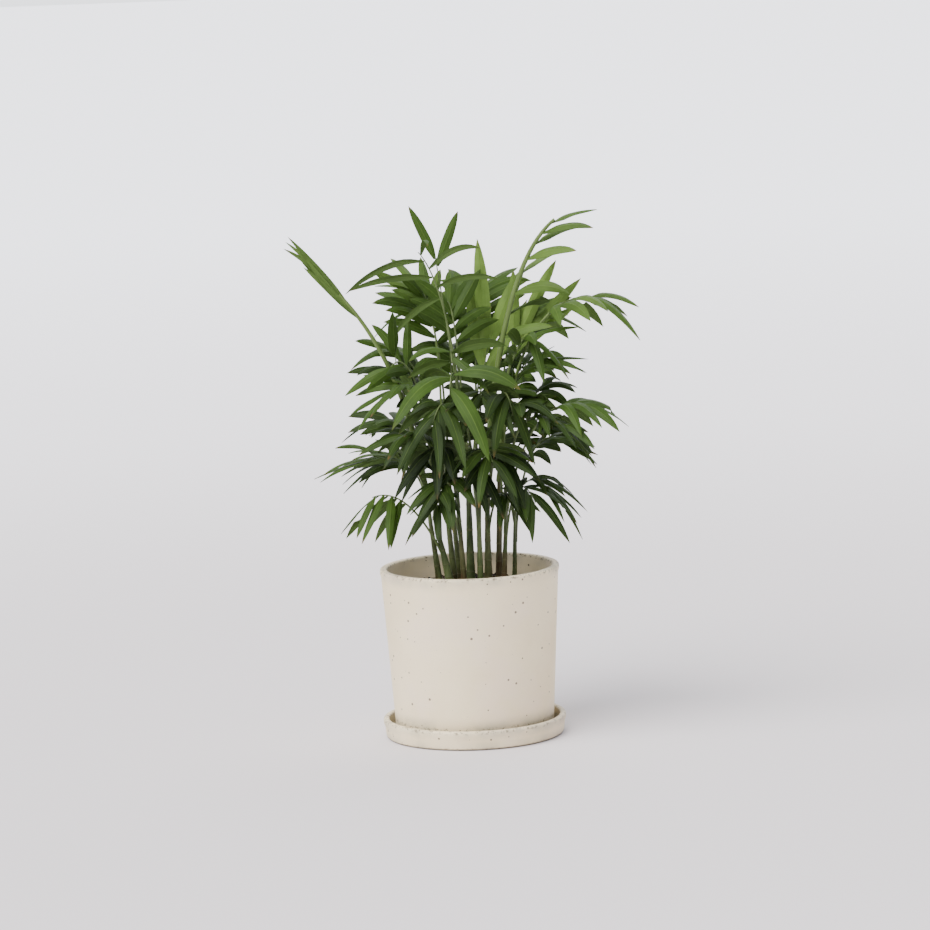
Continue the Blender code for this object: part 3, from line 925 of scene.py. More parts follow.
@dataclass
class PottingMix:
    """The soil: a lumpy bed with crumbs, perlite and bark lying on it.

    Each row of lumps has their size and their depth. A grain is a cube rounded so far, with its
    corners shaken. Grains keep clear of the pot's wall, tilt, and stand off the bed by a share of
    their radius.
    """

    top: float = 138.0 * MM
    foot: float = 14.6 * MM
    flat_radius: float = 50.0 * MM
    fall: float = 1.6 * MM
    top_radius: float = 74.4 * MM
    foot_radius: float = 67.0 * MM
    sides: int = 120
    ring_width: float = 2.6 * MM
    lumps: tuple[tuple[float, float], ...] = ((9.0 * MM, 2.6 * MM), (2.8 * MM, 1.5 * MM))
    lumps_middle: float = 0.6
    lumps_reach: float = 8.0 * MM
    grain_shapes: int = 3
    grain_cube: float = 1.6
    grain_rounding: float = 0.75
    grain_shake: float = 0.26
    grain_tilt: float = 0.7
    grain_rise: float = 0.35
    bed_smoothing: float = 50.0
    grain_smoothing: float = 60.0
    wall_play: float = 2.5 * MM
    grains: tuple[Grains, ...] = (
        Grains("soil_crumbs", SoilFinish(), 420, (0.9 * MM, 2.6 * MM), (1.0, 0.9, 0.75), seed=5),
        Grains("soil_perlite", GranuleFinish("perlite", (0.72, 0.70, 0.66), (0.50, 0.48, 0.44)), 46,
               (0.7 * MM, 1.5 * MM), (1.0, 0.9, 0.8), seed=6),
        Grains("soil_bark", GranuleFinish("bark", (0.150, 0.085, 0.045), (0.045, 0.025, 0.014)), 70,
               (1.6 * MM, 3.6 * MM), (1.4, 0.7, 0.35), seed=7),
    )

    def build(self) -> None:
        """Makes the bed and strews each kind of grain over it."""
        self.build_bed(SoilFinish().material())
        for kind in self.grains:
            self.scatter(kind)

    def fall_at(self, radius: Any) -> Any:
        """How much lower the soil lies at a distance from the pot's axis than in its middle."""
        outside = (radius - self.flat_radius) / (self.top_radius - self.flat_radius)
        return self.fall * np.clip(outside, 0.0, 1.0)

    def build_bed(self, material: Material) -> None:
        """Shapes the bed from a cylinder whose top face is inset in rings and roughened.

        Args:
            material: The bed's finish.
        """
        bed = cylinder("soil_bed", self.sides, self.foot_radius, self.foot, self.top)
        flare(self.top, self.top_radius, self.foot_radius)
        pick_face(lambda middle, normal: normal.z > FACES_UP)
        for _ in range(int(self.top_radius / self.ring_width) - 1):
            bpy.ops.mesh.inset(thickness=self.ring_width)
        bpy.ops.mesh.poke()
        close_edit()
        rough = bed.vertex_groups.new(name="rough")
        rough.add([v.index for v in bed.data.vertices if v.co.z > self.top - MM], 1.0, "REPLACE")
        for size, depth in self.lumps:
            clumps = bpy.data.textures.new("clumps", "CLOUDS")
            clumps.noise_scale = size
            roughen = bed.modifiers.new("Roughen", "DISPLACE")
            roughen.texture = clumps
            roughen.vertex_group = rough.name
            roughen.texture_coords = "LOCAL"
            roughen.strength = depth
            roughen.mid_level = self.lumps_middle
            roughen.direction = "Z"
        apply_modifiers(bed)
        reshape(bed, self.sloped)
        smooth(bed, self.bed_smoothing)
        settle(bed, material, ["soil"])

    def sloped(self, places: np.ndarray) -> np.ndarray:
        """Lets the bed's top fall towards the wall of the pot.

        Args:
            places: The vertices' places, one in a row.

        Returns:
            Their new places.
        """
        lowered = places.copy()
        fall = self.fall_at(np.hypot(places[:, 0], places[:, 1]))
        lowered[:, 2] -= np.where(places[:, 2] > self.top - self.lumps_reach, fall, 0.0)
        return lowered

    def grain_pattern(self, seed: int) -> Object:
        """Models one lumpy grain of about radius 1, from a cube that is rounded and shaken.

        Args:
            seed: Starts the shake.

        Returns:
            The grain.
        """
        bpy.ops.mesh.primitive_cube_add(size=self.grain_cube, location=(0.0, 0.0, 0.0))
        grain = bpy.context.object
        open_for_edit(grain, everything=True)
        bpy.ops.mesh.subdivide(number_cuts=1)
        close_edit()
        grain.modifiers.new("Round", "CAST").factor = self.grain_rounding
        apply_modifiers(grain)
        open_for_edit(grain, everything=True)
        bpy.ops.transform.vertex_random(offset=self.grain_shake, seed=seed)
        close_edit()
        smooth(grain, self.grain_smoothing)
        return grain

    def scatter(self, kind: Grains) -> None:
        """Strews one kind of grain over the bed, as one piece.

        Args:
            kind: The grains to strew.
        """
        material = kind.finish.material()
        draw = random.Random(kind.seed)
        patterns = [self.grain_pattern(kind.seed + number) for number in range(self.grain_shapes)]
        grains = []
        for number in range(kind.count):
            grain = copy_of(patterns[number % self.grain_shapes])
            reach = (self.top_radius - self.wall_play) * math.sqrt(draw.random())
            angle = draw.uniform(0.0, math.tau)
            size = kind.sizes[0] + (kind.sizes[1] - kind.sizes[0]) * draw.random() ** 2
            turn = turned_about(UP, draw.uniform(0.0, math.tau))
            tilt = turned_about((1.0, 0.0, 0.0), draw.uniform(-self.grain_tilt, self.grain_tilt))
            height = self.top - self.fall_at(reach) + size * self.grain_rise * kind.stretch[2]
            middle = np.array((reach * math.cos(angle), reach * math.sin(angle), height))
            axes = (turn @ tilt * np.array(kind.stretch)) * size
            reshape(grain, lambda places: places @ axes.T + middle)
            grains.append(grain)
        discard(patterns)
        settle(joined(grains, kind.name), material, ["soil"])


# Palms: their plan, in millimetres and degrees


class AgeAndShade(Enum):
    """How fresh a frond's green is, from dark to young, with painted shade and light in it."""

    # The darker values paint shade on fronds deep in the clump, and the brighter ones paint light on lit
    # fronds.
    OLD = 0.05
    SHADED = 0.23
    GROWN = 0.48
    BRIGHT = 0.66
    YOUNG = 0.90


@dataclass(frozen=True)
class Frond:
    """One frond: its rachis passes its knee halfway along and ends at its tip.

    Length and width are those of its longest leaflets. They leave the rachis by the spread and
    rise from its plane by the lift, and they hang by the droop, a share of their length. The
    plane is rolled about the rachis, which has no leaflets along its bare share. A stout rachis
    is that much thicker, and a sheaf has so many blades for each leaflet of the frame.
    """

    knee: Place
    tip: Place
    length: float = 52.0
    width: float = 10.5
    spread: float = 62.0
    lift: float = 8.0
    roll: float = 0.0
    droop: float = 0.45
    pairs: int = 6
    bare: float = 0.5
    # The age sets the green's tone, which also paints shade on shaded fronds and light on lit ones.
    age: AgeAndShade = AgeAndShade.GROWN
    stout: float = 1.0
    sheaf: int = 1


@dataclass(frozen=True)
class Plantlet:
    """One leafy stem: where it stands, its radius there, where it ends, how brown it is, its fronds."""

    name: str
    foot: tuple[float, float]
    girth: float
    crown: Place
    rust: float
    fronds: tuple[Frond, ...]


# Each frond's age also paints shade on fronds that lie in shade and light on lit ones.
CLUMP = (
    Plantlet("palm_01", (-17, -9), 3.8, (-31, -10, 205), 0.35, (
        Frond((-54, -23, 218), (-86, -34, 228), length=50, width=8.5, spread=88, lift=-40, droop=0.34,
              pairs=4),
        Frond((-30, -26, 266), (-56, -44, 284), length=46, droop=0.5, pairs=5, age=AgeAndShade.SHADED),
        Frond((-36, -15, 312), (-76, -28, 316), length=48, width=11, droop=0.3),
    )),
    Plantlet("palm_02", (-14, 12), 3.0, (-22, 14, 250), 0.5, (
        Frond((-34, 26, 290), (-62, 40, 334), length=56, droop=0.3, age=AgeAndShade.SHADED),
        Frond((-44, 2, 330), (-70, -8, 335), length=50, width=9.5, roll=-60, droop=0.22, pairs=5),
        Frond((-52, 2, 310), (-60, -6, 355), length=58, width=14, spread=20, lift=4, roll=-105,
              droop=0.03, pairs=2, bare=0.72),
        Frond((-24, 38, 370), (-42, 46, 410), length=54, width=10, spread=50, droop=0.16, bare=0.6,
              age=AgeAndShade.BRIGHT),
    )),
    Plantlet("palm_03", (-5, -17), 2.6, (-9, -20, 232), 0.8, (
        Frond((-16, -30, 222), (-28, -50, 220), length=34, width=8.5, droop=0.6, pairs=4, age=AgeAndShade.SHADED),
        Frond((-12, -34, 240), (-26, -66, 234), length=40, spread=66, droop=0.5, pairs=4, age=AgeAndShade.SHADED),
        Frond((-18, -26, 266), (-32, -44, 264), length=46, width=12, spread=70, droop=0.8, pairs=4,
              age=AgeAndShade.OLD),
        Frond((-14, -42, 304), (-28, -70, 298), length=46, width=12, spread=72, droop=0.75, pairs=5,
              age=AgeAndShade.SHADED),
        Frond((-10, -36, 344), (-9, -60, 351), length=54, width=10, spread=104, lift=26, droop=0.3, pairs=2),
    )),
    Plantlet("palm_04", (1, 0), 3.8, (2, 4, 270), 0.15, (
        Frond((3, -24, 250), (4, -46, 250), length=44, width=11, spread=70, droop=0.7, pairs=4, age=AgeAndShade.OLD),
        Frond((-2, -14, 268), (-6, -34, 298), length=48, width=11, droop=0.6, pairs=5, age=AgeAndShade.OLD),
        Frond((14, 32, 300), (26, 44, 362), length=102, width=14.5, spread=21, lift=0, roll=25,
              droop=0.02, pairs=3, bare=0.66, age=AgeAndShade.YOUNG),
        Frond((-4, 22, 358), (-12, 38, 398), length=60, width=11, spread=50, droop=0.2),
        Frond((-12, 2, 380), (-36, -16, 448), length=72, width=6.5, spread=96, lift=4, roll=45,
              droop=0.42, pairs=3, bare=0.6),
        Frond((-11, 8, 366), (-21, 6, 443), length=64, width=10, spread=30, lift=0, roll=-90, droop=0,
              pairs=1, bare=0.9),
    )),
    Plantlet("palm_05", (10, -23), 2.6, (10, -28, 240), 0.3, (
        Frond((16, -46, 262), (24, -76, 262), length=42, spread=66, droop=0.55, pairs=4, age=AgeAndShade.SHADED),
        Frond((15, -38, 304), (16, -60, 318), length=44, width=11, spread=70, droop=0.75, pairs=4,
              age=AgeAndShade.SHADED),
        Frond((32, -38, 290), (52, -62, 312), length=46, droop=0.5, pairs=5, age=AgeAndShade.SHADED),
        Frond((-5, -66, 334), (-12, -93, 325), length=70, width=17, spread=98, lift=28, droop=0.46, pairs=2),
    )),
    Plantlet("palm_06", (17, -8), 3.4, (19, -9, 250), 0.6, (
        Frond((28, -28, 224), (40, -50, 222), length=34, width=8.5, droop=0.6, pairs=4, age=AgeAndShade.SHADED),
        Frond((32, -42, 310), (44, -68, 302), length=48, width=12, spread=68, droop=0.75, pairs=5,
              age=AgeAndShade.SHADED),
        Frond((44, -16, 340), (66, -28, 364), length=48, droop=0.42),
        Frond((20, -30, 262), (28, -54, 258), length=46, width=12, spread=70, droop=0.8, pairs=4,
              age=AgeAndShade.OLD),
        Frond((46, 2, 396), (89, 6, 472), length=64, width=11.5, spread=60, lift=-40, droop=0.26,
              pairs=4, bare=0.34, age=AgeAndShade.BRIGHT, stout=2.8),
    )),
    Plantlet("palm_07", (27, 6), 3.0, (30, 9, 238), 0.9, (
        Frond((50, 22, 280), (80, 32, 318), length=50, age=AgeAndShade.SHADED),
        Frond((40, 34, 320), (59, 40, 362), length=84, width=11.5, spread=30, lift=2, roll=75,
              droop=0.05, pairs=3, bare=0.7, age=AgeAndShade.YOUNG),
        Frond((62, -4, 362), (121, -14, 402), length=60, width=11.5, droop=0.6, age=AgeAndShade.BRIGHT, stout=1.5),
    )),
    Plantlet("palm_08", (31, -11), 2.4, (36, -14, 212), 1.0, (
        Frond((45, -32, 229), (62, -50, 220), length=38, width=8.5, droop=0.5, pairs=4, age=AgeAndShade.SHADED),
        Frond((50, -36, 286), (94, -54, 286), length=46, width=9.5, lift=14, droop=0.55, pairs=5,
              age=AgeAndShade.SHADED),
        Frond((66, -26, 288), (110, -36, 306), length=54, spread=64, lift=12, droop=0.6, pairs=5),
    )),
    Plantlet("palm_09", (41, 4), 2.0, (44, 4, 196), 0.5, (
        Frond((50, -6, 228), (76, -16, 226), length=44, width=7, lift=22, droop=0.6, age=AgeAndShade.SHADED),
        Frond((60, 16, 254), (90, 24, 268), length=44, width=9, age=AgeAndShade.SHADED),
        Frond((40, 8, 306), (82, -6, 344), length=46, width=8, spread=50, lift=4, droop=0.3),
    )),
    Plantlet("palm_10", (-9, 30), 2.6, (-16, 36, 236), 0.5, (
        Frond((-20, 44, 232), (-44, 60, 262), length=46, pairs=5, age=AgeAndShade.OLD),
        Frond((-42, 50, 264), (-72, 72, 286), age=AgeAndShade.SHADED),
        Frond((-38, 46, 320), (-66, 58, 354)),
        Frond((-22, 56, 354), (-38, 82, 390), length=60, width=11, spread=56, droop=0.3),
    )),
    Plantlet("palm_11", (10, 28), 2.6, (10, 34, 226), 0.5, (
        Frond((16, 44, 236), (34, 62, 268), length=46, pairs=5, age=AgeAndShade.OLD),
        Frond((2, 62, 264), (-8, 98, 282), age=AgeAndShade.SHADED),
        Frond((12, 40, 300), (22, 58, 336), length=48, pairs=5, age=AgeAndShade.SHADED),
        Frond((-2, 56, 320), (-10, 84, 354)),
        Frond((14, 60, 364), (20, 94, 404), length=60, width=11, spread=56, droop=0.3),
    )),
    Plantlet("palm_12", (27, 26), 2.4, (32, 32, 222), 0.5, (
        Frond((50, 50, 260), (84, 68, 276), age=AgeAndShade.SHADED),
        Frond((42, 48, 304), (70, 66, 338)),
        Frond((42, 48, 348), (70, 70, 382), length=58, spread=56, droop=0.3, age=AgeAndShade.BRIGHT),
    )),
    Plantlet("palm_13", (-28, 18), 2.8, (-38, 20, 224), 0.5, (
        Frond((-46, 36, 238), (-78, 52, 250), length=50, age=AgeAndShade.SHADED),
        Frond((-50, 8, 251), (-93, 2, 257), length=58, spread=54, lift=14, roll=10, droop=0.18),
        Frond((-62, 15, 328), (-110, 12, 410), length=92, width=6, spread=3, lift=0, roll=90, droop=0,
              pairs=1, bare=0.8, age=AgeAndShade.BRIGHT, stout=2.6, sheaf=4),
    )),
)

# The rule that the frame's solids grew by, in millimetres and degrees

SOIL_TOP = 138.0
HOLE_DEPTH = 23.7
CANE_BEND, CANE_LIFT = 0.3, 3.0
CANE_TOP_RADIUS = 1.5
FIRST_FROND, LAST_FROND = 0.5, 0.96
PLANE_TILT = 0.3
PETIOLE_STEPS = 4
PETIOLE_RADIUS, RACHIS_TIP_RADIUS = 1.15, 0.65
RING_SHARE = 0.8
RING_CORNERS = ((-1, -1), (-1, 1), (1, 1), (1, -1))
RIGHT_FACE, LEFT_FACE = (3, 2, 6, 7), (0, 1, 5, 4)
LOOSE_SPREAD = 60.0
SPREAD_VARIES, LIFT_VARIES = 8.0, 11.0
LENGTH_VARIES, DROOP_VARIES = 0.1, 0.4
SWELL_START, SWELL_SPAN = 0.2, 0.65
SHORTEST, NARROWEST = 0.6, 0.75
TIP_SPREAD = 0.5
SICKLE = 0.06
KNEE_SHIFTS = ((0, 0, 0), (0, 7, 0), (0, -7, 0), (7, 0, 0), (-7, 0, 0), (0, 14, 0), (0, -14, 0),
               (10, 10, 0), (-10, -10, 0), (10, -10, 0), (-10, 10, 0), (0, 22, 0), (0, -22, 0))
BENDS = ((0, 0, 1.0), (0, 9, 1.0), (0, -9, 1.0), (8, 0, 1.0), (-8, 0, 1.0), (0, 18, 1.0),
         (0, -18, 1.0), (-9, 14, 0.92), (9, -14, 0.92), (-12, -24, 0.86), (12, 26, 0.86),
         (0, 0, 0.72), (0, 30, 0.72), (0, -30, 0.72), (14, 10, 0.6), (-14, -10, 0.6))
SAME_PLACE = 0.06

# What the finer pieces add. Sheathed canes are so many times as thick. Poles, the canes and the
# petioles, are smoothed across so many degrees. The flare and the taper of a petiole and the
# waves of a leaflet's edge are in millimetres. A reach, a sweep, the gathering of a sheaf and a
# nod are shares of the length, and a lean is a share of the way to the light.

SHEATHED = 1.22
POLE_SMOOTHING = 60.0
FLARE_WIDTH, FLARE_REACH, TIP_TAPER = 1.0, 0.06, 0.25
TWIST = math.radians(26.0)
SWEEP, GATHER, NOD = 0.075, 0.085, 0.15
WAVES, WAVE_TURNS = (0.2, 0.9), 9.0
LIGHT_SIDE = np.array((-0.35, -0.80, 0.49))
LEANS, LEAN_REACH = (0.08, 0.68), 0.22
TONE_VARIES = 0.09


def unit(vector: np.ndarray) -> np.ndarray:
    """Vectors along the last axis, brought to length 1."""
    return vector / np.linalg.norm(vector, axis=-1, keepdims=True)


def petiole_radius(share: Any) -> Any:
    """Radius of a petiole and its rachis at a share of their length."""
    return PETIOLE_RADIUS + (RACHIS_TIP_RADIUS - PETIOLE_RADIUS) * share


class Route:
    """A smooth curve through space with three control points, in millimetres."""

    def __init__(self, start: np.ndarray, bend: np.ndarray, end: np.ndarray) -> None:
        """Keeps the control points."""
        self.start, self.bend, self.end = start, bend, end

    def at(self, share: Any) -> np.ndarray:
        """Finds points of the curve.

        Args:
            share: One share of its way, or several.

        Returns:
            The point, or a row for each.
        """
        share = np.asarray(share, dtype=float)[..., None]
        rest = 1.0 - share
        return self.start * rest ** 2 + 2.0 * self.bend * rest * share + self.end * share ** 2

    def heading(self, share: Any) -> np.ndarray:
        """Unit vectors along the curve."""
        share = np.asarray(share, dtype=float)[..., None]
        return unit((self.bend - self.start) * (1.0 - share) + (self.end - self.bend) * share)


class Rachis(Route):
    """A frond's petiole and rachis, with the plane that its leaflets spread in."""

    def __init__(self, frond: Frond, start: np.ndarray, shift: Place) -> None:
        """Lays the curve so that it passes the shifted knee halfway.

        Args:
            frond: The frond's plan.
            start: Where it leaves the cane.
            shift: How far its knee is moved.
        """
        knee = np.array(frond.knee, dtype=float) + np.array(shift)
        tip = np.array(frond.tip, dtype=float)
        super().__init__(start, 2.0 * knee - (start + tip) / 2.0, tip)
        self.frond = frond
        bare, steps = frond.bare, 2 * frond.pairs
        self.shares = [bare * i / PETIOLE_STEPS for i in range(PETIOLE_STEPS)]
        self.shares += [bare + (1.0 - bare) * i / steps for i in range(steps + 1)]

    def axes(self, share: Any) -> tuple[np.ndarray, np.ndarray, np.ndarray]:
        """Finds the directions of the frond's plane.

        Args:
            share: One share of the curve's way, or several.

        Returns:
            Unit vectors along the rachis, to its right, and out of its upper face.
        """
        along = self.heading(share)
        outward = (self.end - self.start) * (1.0, 1.0, 0.0)
        upper = UP - unit(outward) * PLANE_TILT
        upper = unit(upper - along * np.sum(upper * along, axis=-1, keepdims=True))
        roll = math.radians(self.frond.roll)
        upper = upper * math.cos(roll) + np.cross(along, upper) * math.sin(roll)
        return along, np.cross(along, upper), upper

    def ring(self, share: float) -> np.ndarray:
        """Finds the frame's four corners round the rachis.

        Args:
            share: A share of the curve's way.

        Returns:
            The low and the high left corner, then the high and the low right one.
        """
        _, right, upper = self.axes(share)
        half = RING_SHARE * petiole_radius(share)
        return np.array([self.at(share) + half * (right * across + upper * rise)
                         for across, rise in RING_CORNERS])


class Leaflet:
    """Where one leaflet grows, how it bends, and its own small chances."""

    def __init__(self, seed: str, rachis: Rachis, number: int, bend: Place) -> None:
        """Works out a leaflet's place by the same rule as the frame's solids.

        Args:
            seed: Names the leaflet, and starts its draws.
            rachis: What it grows from.
            number: Even on the right of the rachis and odd on the left, from the petiole on.
            bend: Turn of its spread and its lift in degrees, and its share of the full length.
        """
        frond = rachis.frond
        self.bend = bend
        self.draw = random.Random(seed)
        jitter = [self.draw.uniform(-1.0, 1.0) for _ in range(4)]
        self.side = 1 if number % 2 == 0 else -1
        step = number / (2 * frond.pairs - 1)
        low, high = rachis.shares[PETIOLE_STEPS + number:][:2]
        along, right, self.upper = rachis.axes((low + high) / 2.0)
        loose = min(1.0, frond.spread / LOOSE_SPREAD)
        spread = math.radians(frond.spread * (1.0 - (1.0 - TIP_SPREAD) * step)
                              + SPREAD_VARIES * loose * jitter[0] + bend[0])
        lift = math.radians(frond.lift + LIFT_VARIES * loose * jitter[1] + bend[1])
        outward = right * (self.side * math.cos(lift)) + self.upper * math.sin(lift)
        self.heading = along * math.cos(spread) + outward * math.sin(spread)
        middle = math.sin(math.pi * (SWELL_START + SWELL_SPAN * step))
        swell = SHORTEST + (1.0 - SHORTEST) * middle
        self.length = frond.length * swell * (1.0 + LENGTH_VARIES * jitter[2]) * bend[2]
        self.width = frond.width * (NARROWEST + (1.0 - NARROWEST) * middle)
        corners = np.vstack((rachis.ring(low), rachis.ring(high)))
        self.start = corners[list(RIGHT_FACE if self.side > 0 else LEFT_FACE)].mean(axis=0)
        self.bow = along * SICKLE - UP * frond.droop * (1.0 + DROOP_VARIES * jitter[3])
        self.twist = TWIST * self.draw.uniform(-1.0, 1.0)
        self.sweep = self.draw.uniform(-SWEEP, SWEEP) + GATHER * (frond.sheaf > 1)
        self.wave = self.draw.uniform(*WAVES)
        self.phase = self.draw.uniform(0.0, math.tau)
        self.nod = self.draw.uniform(0.0, NOD)
        self.lean = self.draw.uniform(*LEANS)
        # The tone is the frond's age, with the painted shade and light that it carries.
        self.tone = min(1.0, max(0.0, frond.age.value + self.draw.uniform(-TONE_VARIES, TONE_VARIES)))
        self.dried = self.draw.random() ** 3

    def tip(self) -> np.ndarray:
        """Where the frame's solid has this leaflet's tip."""
        return self.start + self.length * (self.heading + self.bow)

    def drape(self, flat: np.ndarray, pattern: "LeafletPattern") -> np.ndarray:
        """Bends the flat pattern on this leaflet's own curve, its face turned towards the light.

        Args:
            flat: The pattern's vertices.
            pattern: Gives the sizes of the flat leaflet.

        Returns:
            The vertices' places on the plant, in metres.
        """
        reach = flat[:, :1] / pattern.length
        centre = self.start + self.length * (self.heading * reach + self.bow * reach ** 2)
        facing = unit(self.heading + 2.0 * reach * self.bow)
        far = unit(self.side * np.cross(self.upper, facing))
        normal = self.side * np.cross(facing, far)
        light = LIGHT_SIDE - facing * (facing @ LIGHT_SIDE)[:, None]
        light = light * np.sign((light * normal).sum(axis=1, keepdims=True))
        lean = self.lean * np.clip(reach / LEAN_REACH, 0.0, 1.0)
        normal = unit(normal * (1.0 - lean) + light * lean)
        far = self.side * np.cross(normal, facing)
        turn = self.twist * reach ** 1.5
        across = far * np.cos(turn) + normal * np.sin(turn)
        out = normal * np.cos(turn) - far * np.sin(turn)
        scale = self.width / pattern.width
        aside = self.side * flat[:, 1:2] * scale + self.length * self.sweep * reach ** 2
        ripple = self.wave * np.sin(reach * WAVE_TURNS + self.phase)
        ripple = ripple * (np.abs(flat[:, 1:2]) / pattern.width)
        lifted = flat[:, 2:] * scale + ripple * np.sin(np.pi * reach)
        nodding = UP * (self.length * self.nod * reach ** 3)
        return (centre + across * aside + out * lifted - nodding) * MM


@dataclass
class LeafletPattern:
    """The one leaflet that all are copied from, flat along +X, in millimetres.

    The outline has the shares of the full width at even steps from the stalk to the tip. The keel
    deepens the fold near the stalk and falls along the length.
    """

    length: float = 50.0
    width: float = 10.0
    thickness: float = 0.42
    edge_drop: float = 1.3
    pleat_drop: float = 0.42
    keel: float = 0.9
    keel_fall: float = 3.0
    outline: tuple[float, ...] = (0.28, 0.54, 0.77, 0.92, 0.99, 1.00, 0.98, 0.94, 0.87, 0.77, 0.61,
                                  0.37, 0.0)
    columns: int = 4
    column_play: float = 0.1
    row_play: float = 0.5
    smoothing: float = 17.0

    def build(self) -> Object:
        """Models the leaflet from a grid: keel and pleats, outline, tip, then thickness.

        Returns:
            The pattern, with the attribute "leaf" that holds 1 in green on its underside.
        """
        rows = len(self.outline) - 1
        bpy.ops.mesh.primitive_grid_add(x_subdivisions=rows, y_subdivisions=self.columns, size=1.0)
        pattern = bpy.context.object
        pattern.name = "leaflet_pattern"
        open_for_edit(pattern, everything=True)
        resize((self.length, self.width, 1.0))
        move((self.length / 2.0, 0.0, 0.0))
        for place, drop in ((self.width / 2.0, self.edge_drop), (self.width / 4.0, self.pleat_drop)):
            pick(lambda co: abs(abs(co.y) - place) < self.column_play)
            move((0.0, 0.0, -drop))
        for row, share in enumerate(self.outline):
            here = self.length * row / rows
            fold = share * (1.0 + max(0.0, self.keel - self.keel_fall * row / rows))
            pick(lambda co: abs(co.x - here) < self.row_play)
            resize((1.0, share, fold), (here, 0.0, 0.0))
        bpy.ops.mesh.merge(type="CENTER")
        close_edit()
        upper = len(pattern.data.vertices)
        thicken = pattern.modifiers.new("Thickness", "SOLIDIFY")
        thicken.thickness = self.thickness
        thicken.offset = -1.0
        apply_modifiers(pattern)
        smooth(pattern, self.smoothing)
        marks = pattern.data.attributes.new("leaf", "FLOAT_COLOR", "POINT")
        for number, mark in enumerate(marks.data):
            mark.color = (0.0, float(number >= upper), 0.0, 1.0)
        return pattern


def finish_pole(pattern: Object, mark: Callable[[Vector], Colour]) -> Object:
    """Closes the cane or the petiole in edit mode and writes its attribute "cane".

    Args:
        pattern: The cane or the petiole.
        mark: Gives the attribute's red, green and blue at a vertex's place.

    Returns:
        The finished pattern.
    """
    close_shell(pattern, POLE_SMOOTHING)
    marks = pattern.data.attributes.new("cane", "FLOAT_COLOR", "POINT")
    for vertex, item in zip(pattern.data.vertices, marks.data):
        item.color = (*mark(vertex.co), 0.0)
    return pattern


@dataclass
class PetiolePattern:
    """The one petiole and rachis that all are copied from, along +Z, with radius and length 1."""

    sides: int = 10
    rings: int = 24
    channel: float = 0.3
    channel_edge: float = 0.97

    def build(self) -> Object:
        """Extrudes a disc ring by ring and presses a channel in its upper side.

        Returns:
            The pattern.
        """
        pattern = disc("petiole_pattern", self.sides)
        for _ in range(self.rings):
            extrude_up(1.0 / self.rings)
        bpy.ops.mesh.select_mode(type="VERT")
        pick(lambda co: co.y > self.channel_edge)
        move((0.0, -self.channel, 0.0))
        return finish_pole(pattern, lambda co: (co.z, 0.0, 0.0))


@dataclass
class CanePattern:
    """The one cane that all are copied from, along +Z, with radius and length 1."""

    sides: int = 14
    internodes: int = 7
    waist: float = 0.97
    node: float = 1.06
    node_height: float = 0.010
    node_play: float = 0.01

    def build(self) -> Object:
        """Extrudes a disc upwards, with a raised ring at each node.

        Returns:
            The pattern, with the attribute "cane" that holds 1 in green on a node.
        """
        pattern = disc("cane_pattern", self.sides)
        third = (1.0 / self.internodes - 3 * self.node_height) / 3
        internode = ((third, 1.0), (third, self.waist), (third, self.waist),
                     (self.node_height, self.waist), (self.node_height, self.node),
                     (self.node_height, 1.0))
        height, width = 0.0, 1.0
        for rise, radius in internode * self.internodes:
            height += rise
            extrude_up(rise)
            widen(radius / width, height)
            width = radius
        return finish_pole(pattern, lambda co: (co.z, float(co.xy.length > self.node - self.node_play), 1.0))


